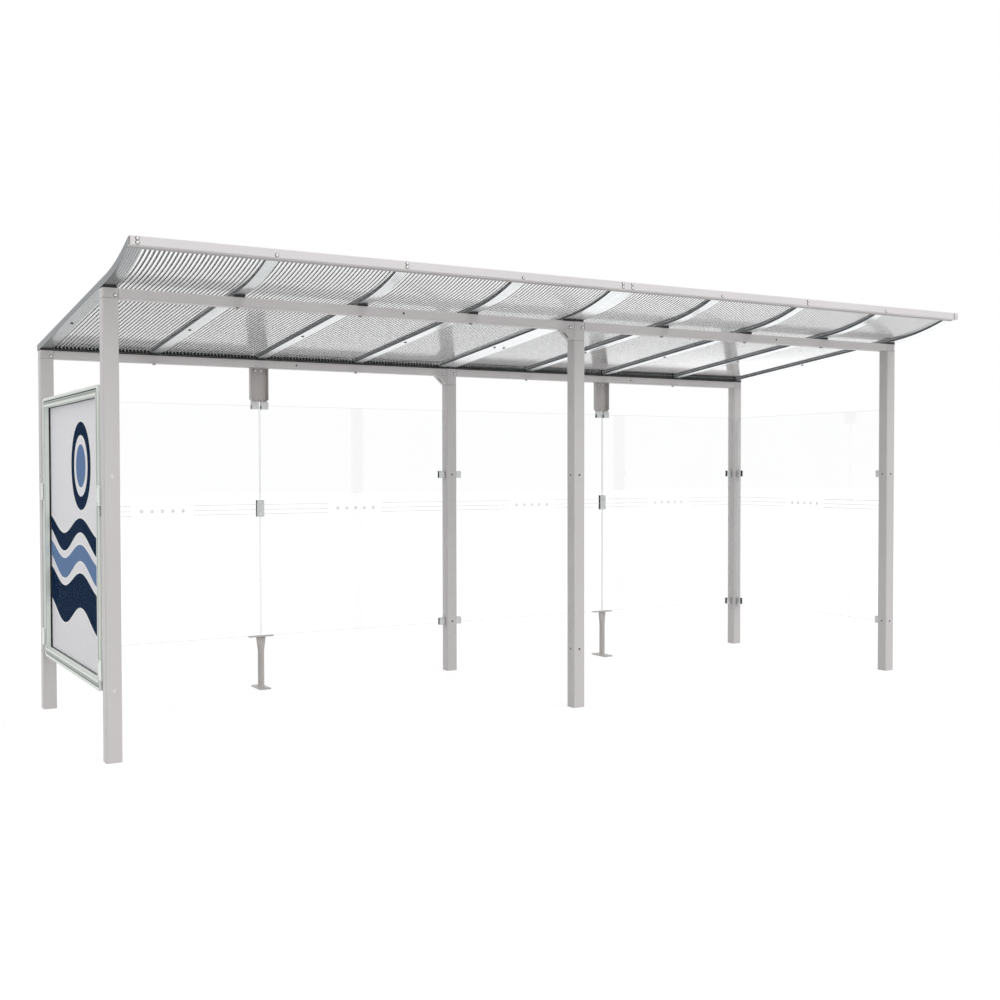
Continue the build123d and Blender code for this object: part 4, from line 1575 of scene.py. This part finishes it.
@dataclass
class Clamps:
    """Cast clamps on the glass: two shells with round edges, and rubber between them."""

    site: Site
    size: float = 0.045
    depth: float = 0.026
    slot: float = 0.0084
    rubber: float = 0.0042
    seat: float = 0.0137
    radius: float = 0.0035
    radius_share: float = 0.42
    bridge_radius: float = 0.001
    pad_radius: float = 0.0006
    inset: float = 0.0009
    joint_screw: tuple[float, float] = (0.0055, 0.0022)
    joint_screw_rise: float = 0.034
    hanger_screw: tuple[float, float] = (0.0038, 0.0018)
    hanger_screw_shift: float = 0.011
    hanger_shift: float = 0.0295
    cast: Surface = field(default_factory=Surface)
    pads: Surface = field(default_factory=Surface)
    screws: Surface = field(default_factory=Surface)

    @property
    def rear_y(self) -> float:
        """Gives the depth of the middle of the rear glass."""
        return self.site.middle(Row.REAR)

    @property
    def core(self) -> float:
        """Gives the distance from the middle of the glass to the shells."""
        return self.slot / 2 + self.rubber

    def build(self) -> None:
        """Builds the clamps of the posts, of the joints and of the hangers."""
        low, high = corners("glass_clips_rear")
        left, middle, right = (self.site.column[place] for place in Column)
        post = self.site.post
        for level in (low[2] + self.size / 2, high[2] - self.size / 2):
            for x, side in ((left + post, 1), (middle, -1), (middle + post, 1), (right, -1)):
                self.add_post_clamp(Spot((x, self.rear_y, level), X_AXIS * side))
            ends = ((self.site.face[Row.FRONT][1], 1), (self.site.face[Row.REAR][0], -1))
            for y, side in ends:
                self.add_post_clamp(Spot((right + post / 2, y, level), Y_AXIS * side))
        self.finish_set("post_clamps", ["glass_clips_rear", "glass_clips_end"])
        for x in (-JOINT_X, JOINT_X):
            self.add_joint_clamp(x)
        self.finish_set("joint_clamps", ["joint_clips"])
        for x in (-JOINT_X, JOINT_X):
            self.add_hanger_clamps(x)
        self.finish_set("hanger_clamps", ["hanger_clips"])

    def finish_set(self, name: str, nodes: Sequence[str]) -> None:
        """Builds the set gathered so far and starts another.

        Args:
            name: Name of the castings; the rubbers and screws add a word to it.
            nodes: CAD nodes that it stands for.
        """
        self.cast.build(name, [ZINC], Slot.ZINC, nodes)
        self.pads.build(f"{name}_rubbers", [RUBBER], Slot.RUBBER)
        if self.screws.count:
            self.screws.build(f"{name}_screws", [SCREW], Slot.ZINC)
        self.cast, self.pads, self.screws = Surface(), Surface(), Surface()

    def add_pair(
        self, surface: Surface, faces: tuple[float, float], radius: float, span: Span, spot: Spot
    ) -> None:
        """Adds a block on each side of the glass.

        Args:
            surface: Mesh that they are added to.
            faces: Distance of the near and the far face from the middle of the glass.
            radius: Radius of the edges.
            span: Where they run along the glass and in height.
            spot: Where the clamp sits.
        """
        start, stop, low, high = span
        for side in (-1, 1):
            near, far = sorted(side * face for face in faces)
            add_block(
                surface, (start, near, low), (stop, far, high), radius, spot.origin, spot.across
            )

    def add_shells(self, span: Span, spot: Spot) -> None:
        """Adds the two shells of a clamp, with the span that add_pair takes."""
        faces = (self.core, self.depth / 2)
        radius = min(self.radius, (faces[1] - faces[0]) * self.radius_share)
        self.add_pair(self.cast, faces, radius, span, spot)

    def add_pad(self, span: Span, spot: Spot) -> None:
        """Adds the rubber on each side of the glass, with the span that add_pair takes."""
        self.add_pair(self.pads, (self.slot / 2, self.core), self.pad_radius, span, spot)

    def add_bridge(self, surface: Surface, radius: float, span: Span, spot: Spot) -> None:
        """Adds a block from shell to shell, beside the glass or over it.

        Args:
            surface: Mesh that it is added to.
            radius: Radius of its edges.
            span: Where they run along the glass and in height.
            spot: Where the clamp sits.
        """
        start, stop, low, high = span
        near, far = (start, -self.core, low), (stop, self.core, high)
        add_block(surface, near, far, radius, spot.origin, spot.across)

    def add_screws(self, spots: Sequence[tuple[float, float]], head: tuple[float, float]) -> None:
        """Adds screws to both faces of a clamp on the rear glass.

        Args:
            spots: Place along the length and level of each.
            head: Radius and height of the head.
        """
        for side in (-1, 1):
            face = self.rear_y + side * self.depth / 2
            add_heads(self.screws, [(x, face, z) for x, z in spots], Y_AXIS * side, *head)

    def add_post_clamp(self, spot: Spot) -> None:
        """Adds one clamp on a post, with the bridge at the post that joins its shells.

        Args:
            spot: Middle of the clamp on the face of the post, and the way out of it.
        """
        half, low = self.size / 2, -self.size / 2 + self.inset
        high, reach = half - self.inset, self.size - self.inset
        glass_low = corners("glass_rear_1")[0][2] - spot.origin[2]
        self.add_shells((0.0, self.size, -half, half), spot)
        bridge = (HAIR, self.seat - 2 * HAIR, low, high)
        self.add_bridge(self.cast, self.bridge_radius, bridge, spot)
        self.add_pad((self.seat, reach, max(low, glass_low), high), spot)
        if glass_low > -half:
            under = (self.seat, reach, low, glass_low - 0.0003)
            self.add_bridge(self.pads, self.pad_radius, under, spot)

    def add_joint_clamp(self, x: float) -> None:
        """Adds the tall clamp where two panels meet, with a screw near each end."""
        low, high = corners("joint_clips")
        middle, half = (low[2] + high[2]) / 2, (high[2] - low[2]) / 2
        spot = Spot((x, self.rear_y, middle), X_AXIS)
        wide, inset = self.size / 2, self.inset
        self.add_shells((-wide, wide, -half, half), spot)
        self.add_pad((-wide + inset, wide - inset, -half + inset, half - inset), spot)
        rise = self.joint_screw_rise
        self.add_screws([(x, middle + z) for z in (-rise, rise)], self.joint_screw)

    def add_hanger_clamps(self, x: float) -> None:
        """Adds the two clamps under a hanger, each with two screws near its top."""
        low, high = corners("hanger_clips")
        middle, half = (low[2] + high[2]) / 2, (high[2] - low[2]) / 2
        wide, narrow = self.size / 2, self.size / 2 - self.inset
        glass_top = corners("glass_rear_1")[1][2] - middle
        rise = self.hanger_screw_shift
        for shift in (-self.hanger_shift, self.hanger_shift):
            spot = Spot((x + shift, self.rear_y, middle), X_AXIS)
            self.add_shells((-wide, wide, -half, half), spot)
            self.add_pad((-narrow, narrow, -half + self.inset, glass_top), spot)
            bridge = (-narrow, narrow, glass_top + 3 * HAIR, half - HAIR)
            self.add_bridge(self.cast, self.bridge_radius, bridge, spot)
            spots = [(x + shift + dx, middle + rise) for dx in (-rise, rise)]
            self.add_screws(spots, self.hanger_screw)


@dataclass
class Hanger:
    """Folded tray under a rear beam that carries the two clamps of a glass joint."""

    x: float
    name: str
    width: float = 0.110
    depth: float = 0.034
    wall: float = 0.003
    cut: float = 0.014
    bevel: float = 0.0009
    top_bolt: tuple[float, float] = (0.0062, 0.005)
    top_shifts: tuple[float, ...] = (-0.018, 0.018)
    top_drop: float = 0.013
    clamp_bolt: tuple[float, float] = (0.0042, 0.003)
    clamp_shifts: tuple[float, ...] = (-0.0385, -0.0205, 0.0205, 0.0385)
    clamp_rise: float = 0.012

    def outline(self, inset: float) -> Array:
        """Gives the tray seen from the front, with its two lower corners cut, set in all round.

        Args:
            inset: Distance that it is set in.

        Returns:
            Points in rows of two, from the middle of its lower edge.
        """
        low, high = corners("hangers")
        half, height = self.width / 2 - inset, high[2] - low[2] - inset
        cut = self.cut - inset * (2 - math.sqrt(2))
        x = (-half + cut, half - cut, half, half, -half, -half)
        z = (inset, inset, inset + cut, height, height, inset + cut)
        return np.column_stack((x, z))

    def build(self, replaces: Sequence[str]) -> None:
        """Builds the tray: a rim drawn out round its outline, a back plate, and its bolts.

        Args:
            replaces: CAD nodes that it stands for.
        """
        low, high = corners("hangers")
        tray = Surface()
        rim = [self.outline(0.0), self.outline(self.wall)]
        plate = [self.outline(self.wall - HAIR / 2)]
        for loops, depth in ((rim, self.depth), (plate, self.wall)):
            prism(tray, loops, depth, (self.x, high[1], low[2]), X_AXIS, -Y_AXIS)
        # The tray takes the darker copy of the paint: painted shade.
        tray.build(f"hanger_{self.name}", [SHADED_PAINT], Slot.FRAME, replaces, self.bevel)
        bolts = Surface()
        for shifts, level, head, style in (
            (self.top_shifts, high[2] - self.top_drop, self.top_bolt, HeadStyle.HEX),
            (self.clamp_shifts, low[2] + self.clamp_rise, self.clamp_bolt, HeadStyle.DOME),
        ):
            places = [(self.x + dx, high[1] - self.wall, level) for dx in shifts]
            add_heads(bolts, places, -Y_AXIS, *head, style)
        bolts.build(f"hanger_bolts_{self.name}", [SCREW], Slot.ZINC)


@dataclass
class Foot:
    """Slotted base and a round stem whose top is pressed flat and spreads under the glass."""

    x: float
    y: float
    name: str
    stem: float = 0.019
    head_half_width: float = 0.0285
    head_half_depth: float = 0.006
    head_height: float = 0.095
    wall: float = 0.003
    base: tuple[float, float, float] = (0.070, 0.160, 0.008)
    base_corner: float = 0.004
    plate: tuple[float, float, float] = (0.150, 0.040, 0.006)
    plate_corner: float = 0.003
    slot: tuple[float, float] = (0.012, 0.026)
    slot_spacing: float = 0.104
    weld: float = 0.0045
    weld_edge: float = 0.0012

    def stem_grid(self, top: float, inset: float) -> Array:
        """Gives the skin of the stem.

        At each level it is half width times cosine and half depth times sine of the turn, each
        to the power 2/n. The two halves pass by a smooth step from the radius of the tube to
        those of the pressed head, and n from 2, a circle, to 3.5, a flattened oval.

        Args:
            top: Its highest level.
            inset: Distance that the skin is set in.

        Returns:
            Grid of points, levels by turn by three.
        """
        flare = top - self.head_height
        levels = np.array((self.base[2], *np.linspace(flare, top, 17)))
        share = np.clip((levels - flare) / self.head_height, 0.0, 1.0)
        share = (share * share * (3 - 2 * share))[:, None]
        turn = full_turn(48)
        power = 2.0 / (2.0 + 1.5 * share)
        half_width = self.stem + share * (self.head_half_width - self.stem) - inset
        half_depth = self.stem + share * (self.head_half_depth - self.stem) - inset
        cosine, sine = np.cos(turn), np.sin(turn)
        x = half_width * np.sign(cosine) * np.abs(cosine) ** power
        y = half_depth * np.sign(sine) * np.abs(sine) ** power
        z = levels[:, None] + 0.0 * turn
        return np.stack((self.x + x, self.y + y, z), axis=-1)

    def build(self, replaces: Sequence[str]) -> None:
        """Builds the foot.

        Args:
            replaces: CAD nodes that it stands for.
        """
        top = corners("glass_feet")[1][2] - self.plate[2]
        foot = Surface()
        slot = rounded_outline(*self.slot, self.slot[0] / 2 - HAIR / 2, 6)
        slots = [slot + (0.0, side * self.slot_spacing / 2) for side in (-1, 1)]
        base = [rounded_outline(*self.base[:2], self.base_corner), *slots]
        prism(foot, base, self.base[2], (self.x, self.y, 0.0), X_AXIS, Z_AXIS)
        skins = [self.stem_grid(top, inset) for inset in (0.0, self.wall)]
        for skin in skins:
            foot.grid(skin, close_columns=True)
        for end in (0, -1):
            foot.cap([skin[end] for skin in skins])
        plate = rounded_outline(*self.plate[:2], self.plate_corner)
        prism(foot, [plate], self.plate[2], (self.x, self.y, top), X_AXIS, Z_AXIS)
        foot.build(f"foot_{self.name}", [FOOT_PAINT], Slot.FRAME, replaces)
        self.build_weld()

    def build_weld(self) -> None:
        """Builds the bead of weld round the foot of the stem, a turned three-sided section."""
        corner = np.array(((0.0, 0.0), (self.weld, 0.0), (0.0, self.weld)))
        section = softened(corner, self.weld_edge) + (self.stem - 0.0003, self.base[2])
        bead = Surface()
        ring = lathe(section, 32) + (self.x, self.y, 0.0)
        bead.grid(ring, close_rows=True, close_columns=True)
        bead.build(f"foot_weld_{self.name}", [FOOT_PAINT], Slot.FRAME)


# ---- poster case -----------------------------


@dataclass
class PosterCase:
    """Case at the end of the shelter: stepped rim, glazed door, poster, back and straps."""

    rim_corner: float = 0.042
    proud: float = 0.0068
    grow: float = 0.002
    depth: float = 0.051
    board_edge: float = 0.0015
    seal: tuple[float, float] = (0.0500, 0.0535)
    seal_gap: float = 0.0004
    lug_levels: tuple[float, float] = (0.405, 1.191)
    lug_height: float = 0.090
    lug_overlap: float = 0.018
    lug_corner: float = 0.004
    lug_bevel: float = 0.0006
    leg: tuple[float, float] = (0.003, 0.030)
    latch_shifts: tuple[float, float] = (0.004, 0.030)
    latch_depths: tuple[float, float] = (0.006, 0.026)
    latch_rises: tuple[float, float] = (-0.048, 0.010)
    screw: tuple[float, float] = (0.0055, 0.0012)
    screw_shift: float = 0.052
    screw_rises: tuple[float, float] = (-0.036, 0.036)
    print_lift: float = 0.0001

    def carry(self, profile: Iterable[Sequence[float]]) -> Array:
        """Carries a section round the case: at each point of it, the outline set in by its inset.

        Args:
            profile: Inset from the outline of the case and depth behind its face, in rows.

        Returns:
            Grid of points, profile by outline by three.
        """
        low, high = corners("case_frame")
        middle = (low + high) / 2
        width, height = high[1] - low[1] + 2 * self.grow, high[2] - low[2] + 2 * self.grow
        rings = []
        for inset, behind in profile:
            radius = max(self.rim_corner - inset, 0.0012)
            flat = rounded_outline(width - 2 * inset, height - 2 * inset, radius, 8)
            x = np.full(len(flat), low[0] - self.proud + behind)
            rings.append(np.stack((x, middle[1] - flat[:, 0], middle[2] + flat[:, 1]), axis=1))
        return np.stack(rings)

    def build(self) -> None:
        """Builds and dresses the case."""
        self.build_rim()
        self.build_door()
        self.build_board()
        dress(("case_pane",), CASE_GLASS)
        dress(("case_back",), BACK_PAINT)
        PosterPrint.on(self.proud + self.print_lift).build()
        self.build_lugs()

    def build_section(
        self, name: str, shape: Sequence[tuple[float, float, int]], replaces: Sequence[str]
    ) -> None:
        """Builds a frame of one section carried round the case.

        Args:
            name: Name of the piece.
            shape: Inset and depth of each point of the section, and the mark of the edge after
            it: 0 for metal, 1 for metal painted darker as shadow and 2 for the dark seal.
            replaces: CAD nodes that it stands for.
        """
        table = np.array(shape)
        made = Surface()
        grid = self.carry(table[:, :2])
        made.grid(grid, close_rows=True, close_columns=True, mark=table[:, 2:].astype(int))
        made.build(name, [CASE_METAL, CASE_SHADOW, CASE_SEAL], Slot.CASE, replaces)

    def build_rim(self) -> None:
        """Builds the rim: a round bead in front of a flat side, with a dark seal beside it; the
        inner flank of the bead is painted as in shadow.
        """
        bead, back = 0.0165, self.depth
        shape = (
            (0.0, back, 0),
            (0.0, 0.0060, 0),
            (0.0006, 0.0030, 0),
            (0.0022, 0.0010, 0),
            (0.0050, 0.0, 0),
            (bead - 0.0060, 0.0, 0),
            (bead - 0.0025, 0.0008, 0),
            (bead - 0.0006, 0.0028, 1),
            (bead, 0.0050, 1),
            (bead, 0.0095, 2),
            (bead + 0.0042, 0.0095, 2),
            (bead + 0.0042, back, 0),
        )
        self.build_section("case_rim", shape, ["case_frame"])

    def build_door(self) -> None:
        """Builds the frame of the door: a grooved band painted as in shadow, its groove floor
        painted dark as shade, a bead, a deep wall and a dark seal.
        """
        near, far, edge, wall = 0.0215, 0.0285, 0.0485, 0.0505
        shape = (
            (near, far, 0),
            (near, 0.0032, 1),
            (near + 0.0006, 0.0024, 1),
            (near + 0.0062, 0.0024, 1),
            (near + 0.0068, 0.0040, 2),
            (near + 0.0082, 0.0040, 1),
            (near + 0.0088, 0.0024, 1),
            (near + 0.0150, 0.0024, 1),
            (near + 0.0162, 0.0008, 0),
            (near + 0.0180, 0.0, 0),
            (edge - 0.0030, 0.0, 0),
            (edge - 0.0008, 0.0008, 0),
            (edge, 0.0024, 1),
            (edge - 0.0006, 0.0034, 1),
            (edge, 0.0050, 0),
            (edge + 0.0002, 0.0210, 0),
            (wall, 0.0230, 0),
            (wall, 0.0250, 2),
            (wall - 0.0005, far, 0),
        )
        self.build_section("door_frame", shape, ["case_door"])

    def build_board(self) -> None:
        """Builds the poster on its board, and the dark seal round it."""
        low, high = corners("poster_board")
        shift = (-self.proud, 0.0, 0.0)
        board = Surface()
        add_block(board, low + shift, high + shift, self.board_edge, steps=3)
        board.build("poster_sheet", [PAPER], Slot.POSTER, ["poster_board"])
        pane = corners("case_pane")[1][0] + self.seal_gap
        base = corners("case_frame")[0][0] - self.proud
        near = self.carry([(inset, pane - base) for inset in self.seal])
        far = near + (low[0] - self.proud - HAIR - pane, 0.0, 0.0)
        seal = Surface()
        rings = np.stack((near[0], near[1], far[1], far[0]))
        seal.grid(rings, close_rows=True, close_columns=True)
        seal.build("poster_seal", [CASE_SEAL], Slot.CASE)

    def build_lugs(self) -> None:
        """Builds the four straps that bridge to the posts, each with a leg, latch and screws."""
        low, high = corners("case_lugs")
        case_low, case_high = corners("case_frame")
        face, back = case_low[0] - self.proud, low[0] - self.proud
        half = self.lug_height / 2
        thin, deep = self.leg
        lugs, latches, screws = Surface(), Surface(), Surface()
        for post, case, side in ((low[1], case_low[1], 1), (high[1], case_high[1], -1)):
            for level in self.lug_levels:
                start, stop = sorted((post, case + side * self.lug_overlap))
                strap = rounded_outline(stop - start, self.lug_height, self.lug_corner)
                origin = (face, (start + stop) / 2, level)
                prism(lugs, [strap], face - back, origin, -Y_AXIS, -X_AXIS)
                near, far = sorted((post, post + side * thin))
                leg = (back + 0.0004, near, level - half), (face + deep, far, level + half)
                add_block(lugs, *leg, self.lug_bevel)
                near, far = sorted(post + side * shift for shift in self.latch_shifts)
                front, rear = (face + depth for depth in self.latch_depths)
                floor, top = (level - half + rise for rise in self.latch_rises)
                add_block(latches, (front, near, floor), (rear, far, top), thin)
                spot = post + side * self.screw_shift
                places = [(back + 0.0008, spot, level + z) for z in self.screw_rises]
                add_heads(screws, places, -X_AXIS, *self.screw)
        lugs.build("case_straps", [LUG_METAL], Slot.CASE, ["case_lugs"], self.lug_bevel)
        latches.build("case_latches", [PLUG], Slot.RUBBER)
        screws.build("case_screws", [DARK_SCREW], Slot.ZINC)


@dataclass
class PosterPrint:
    """Printed design: a ring over rolling bands, in two inks, each with a white edge.

    Each edge of a band is its level plus the swell times the sine of the way across times the
    waves.
    """

    face: float
    middle: Array
    half: Array
    halo: float = 0.010
    layer: float = 0.0004
    thickness: float = 0.8
    bands: tuple[tuple[float, float], ...] = ((-0.42, -0.24), (-0.19, -0.10), (-0.05, 0.03))
    waves: float = 1.5
    swell: float = 0.055
    upper_swell: float = 0.8
    phase: float = 0.6
    rings: tuple[tuple[float, float], ...] = ((0.15, 0.215), (0.0, 0.105))
    ring_centre: tuple[float, float] = (0.14, 0.33)

    @classmethod
    def on(cls, lift: float) -> "PosterPrint":
        """Lays the design on the board of the case.

        Args:
            lift: Distance in front of the board.

        Returns:
            The design, inside the margin of the poster.
        """
        low, high = corners("poster_board")
        margin = 0.014
        return cls(low[0] - lift, (low + high) / 2, (high[1:] - low[1:]) / 2 - margin)

    def build(self) -> None:
        """Builds the white edges and then the inks, dark and pale by turns, one layer on."""
        white, dark, pale = Surface(), Surface(), Surface()
        for halo, inks, face in (
            (self.halo, (white, white, white), self.face),
            (0.0, (dark, pale, dark), self.face - self.layer),
        ):
            for ink, (floor, ceiling) in zip(inks, self.bands):
                self.add_band(ink, face, floor - halo, ceiling + halo)
            for ink, (inner, outer) in zip(inks, self.rings):
                self.add_ring(ink, face, inner - halo, outer + halo)
        white.build("poster_print_white", [WHITE_INK], Slot.POSTER)
        dark.build("poster_print", [INK], Slot.POSTER)
        pale.build("poster_print_pale", [PALE_INK], Slot.POSTER)

    def lay(self, face: float, across: Array, up: Array) -> tuple[Array, Array]:
        """Lays a film over the poster.

        Args:
            face: Depth of its back.
            across: How far each point is along the poster from its middle.
            up: How far it is over the middle.

        Returns:
            Points of its back and of its front.
        """
        x = np.full(np.shape(across), face)
        near = np.stack((x, self.middle[1] - across, self.middle[2] + up), axis=-1)
        return near, near - (self.layer * self.thickness, 0.0, 0.0)

    def add_band(self, surface: Surface, face: float, floor: float, ceiling: float) -> None:
        """Adds a rolling band from edge to edge.

        Args:
            surface: Mesh that it is added to.
            face: Depth of its back.
            floor: Level of its lower edge, from the middle of the poster.
            ceiling: Level of its upper edge.
        """
        share = np.linspace(-1.0, 1.0, 61)
        wave = self.swell * np.sin(math.pi * self.waves * share + self.phase)
        up = np.stack((floor + wave, ceiling + wave * self.upper_swell))
        up = np.clip(up, -self.half[1], self.half[1])
        across = np.broadcast_to(share * self.half[0], up.shape)
        films = self.lay(face, across, up)
        for film in films:
            surface.grid(film)
        border = [
            np.concatenate((g[0], g[1:-1, -1], g[-1, ::-1], g[1:-1, 0][::-1])) for g in films
        ]
        surface.grid(np.stack(border), close_columns=True)

    def add_ring(self, surface: Surface, face: float, inner: float, outer: float) -> None:
        """Adds a ring: the centre plus a radius from inner to outer at each turn.

        Args:
            surface: Mesh that it is added to.
            face: Depth of its back.
            inner: Its inner radius, or none for a disc.
            outer: Its outer radius.
        """
        turn = full_turn(72)
        radii = np.array((max(inner, 0.0005), outer))[:, None]
        across = self.ring_centre[0] + radii * np.cos(turn)
        up = self.ring_centre[1] + radii * np.sin(turn)
        near, far = self.lay(face, across, up)
        rings = np.stack((*near, *far[::-1]))
        surface.grid(rings, close_rows=True, close_columns=True)


# ---- studio ----------------------------------


@dataclass
class Studio:
    """Pale floor, soft light and the camera."""

    eye: tuple[float, float, float] = (-3.7672485, -6.1190949, 1.3015126)
    yaw: float = -0.53423133
    pitch: float = -0.02400614
    roll: float = 0.00156910
    lens: float = 44.36707
    sensor: float = 36.0
    sight: float = 200.0
    floor_half: float = 60.0
    floor_level: float = -0.0005
    sky: float = 0.86
    key: float = 0.95
    key_turn: float = math.radians(25)
    key_height: float = math.radians(48)
    key_width: float = math.radians(50)
    floor_albedo: float = 0.5
    floor_seen_albedo: float = 0.88 * 0.3
    floor_glow: float = 0.78
    floor_gloss: float = 0.9

    def build(self) -> None:
        """Sets up the camera, the world, the key light and the floor."""
        scene = bpy.context.scene
        scene.view_settings.view_transform = "Standard"
        scene.cycles.transparent_max_bounces = TRANSPARENT_LAYERS
        self.build_camera()
        self.build_world()
        self.build_key()
        self.build_floor()

    def build_camera(self) -> None:
        """Aims the camera: turned about the vertical, then tipped, then rolled."""
        turn = (
            Matrix.Rotation(self.yaw, 3, "Z")
            @ Matrix.Rotation(self.pitch, 3, "X")
            @ Matrix.Rotation(self.roll, 3, "Y")
        )
        ahead = Matrix(((1, 0, 0), (0, 0, -1), (0, 1, 0)))
        camera = bpy.data.objects.new("camera", bpy.data.cameras.new("camera"))
        camera.data.lens = self.lens
        camera.data.sensor_width = self.sensor
        camera.data.clip_end = self.sight
        camera.matrix_world = Matrix.Translation(self.eye) @ (turn @ ahead).to_4x4()
        bpy.context.scene.collection.objects.link(camera)
        bpy.context.scene.camera = camera

    def seen(self, tree: bpy.types.NodeTree) -> Socket:
        """Gives 1 for rays from the camera, off gloss and through glass, and 0 for the rest."""
        path = add_node(tree, "LightPath").outputs
        total = path["Is Camera Ray"]
        for name in ("Is Glossy Ray", "Is Transmission Ray"):
            total = add_node(tree, "Math", total, path[name], operation="MAXIMUM").outputs[0]
        return total

    def build_world(self) -> None:
        """Makes a white world that lights the object at the plain level."""
        world = bpy.data.worlds.new("studio")
        bpy.context.scene.world = world
        world.use_nodes = True
        tree = world.node_tree
        tree.nodes.clear()
        level = add_node(tree, "MapRange", self.seen(tree), 0.0, 1.0, self.sky, 1.0)
        back = add_node(tree, "Background", (1.0, 1.0, 1.0, 1.0), level.outputs[0])
        add_node(tree, "OutputWorld", back.outputs[0])

    def build_key(self) -> None:
        """Adds a wide soft lamp from the front right."""
        lamp = bpy.data.lights.new("key", "SUN")
        lamp.energy = self.key
        lamp.angle = self.key_width
        made = bpy.data.objects.new("key", lamp)
        bpy.context.scene.collection.objects.link(made)
        level = math.cos(self.key_height)
        ahead, right = -math.cos(self.key_turn) * level, math.sin(self.key_turn) * level
        towards = Vector((right, ahead, math.sin(self.key_height)))
        made.rotation_euler = towards.to_track_quat("Z", "Y").to_euler()

    def build_floor(self) -> None:
        """Lays a pale floor that shows white where no shadow falls on it."""
        ticks = np.linspace(-self.floor_half, self.floor_half, 9)
        x, y = np.meshgrid(ticks, ticks)
        surface = Surface()
        surface.grid(np.stack((x, y, np.full_like(x, self.floor_level)), axis=-1))
        mesh = bpy.data.meshes.new("floor")
        mesh.from_pydata(surface.points[0].tolist(), [], surface.polygons)
        mesh.flip_normals()
        mesh.materials.append(self.floor_material())
        floor = bpy.data.objects.new("floor", mesh)
        bpy.context.scene.collection.objects.link(floor)

    def floor_material(self) -> bpy.types.Material:
        """Gives a plain grey floor for light, and a glowing pale one for eyes and gloss."""
        material = bpy.data.materials.new("floor")
        material.use_nodes = True
        tree = material.node_tree
        tree.nodes.clear()
        plain, faint = (
            add_node(tree, "BsdfDiffuse", (albedo, albedo, albedo, 1.0)).outputs[0]
            for albedo in (self.floor_albedo, self.floor_seen_albedo)
        )
        camera = add_node(tree, "LightPath").outputs["Is Camera Ray"]
        level = add_node(tree, "MapRange", camera, 0.0, 1.0, self.floor_gloss, self.floor_glow)
        glow = add_node(tree, "Emission", None, level.outputs[0])
        both = add_node(tree, "AddShader", faint, glow.outputs[0])
        mix = add_node(tree, "MixShader", self.seen(tree), plain, both.outputs[0])
        add_node(tree, "OutputMaterial", mix.outputs[0])
        return material


def main() -> None:
    """Builds the studio and each part of the shelter."""
    logging.basicConfig(level=logging.INFO, format="%(name)s: %(message)s")
    Studio().build()
    site = Site.read()
    line = RoofLine(site)
    LOG.info("roof slope %.2f degrees", math.degrees(line.slope))
    roof = Roof(line, GlazingBars(line), RibbedSheets(line))
    places = roof.build()
    SteelFrame(site, places).build()
    GlassWalls().build()
    Clamps(site).build()
    rear_y = site.middle(Row.REAR)
    for x, name, nodes in ((-JOINT_X, "left", ["hangers"]), (JOINT_X, "right", [])):
        Hanger(x, name).build(nodes)
    for x, name, nodes in ((-JOINT_X, "left", ["glass_feet"]), (JOINT_X, "right", [])):
        Foot(x, rear_y, name).build(nodes)
    PosterCase().build()


if __name__ == "__main__":
    main()
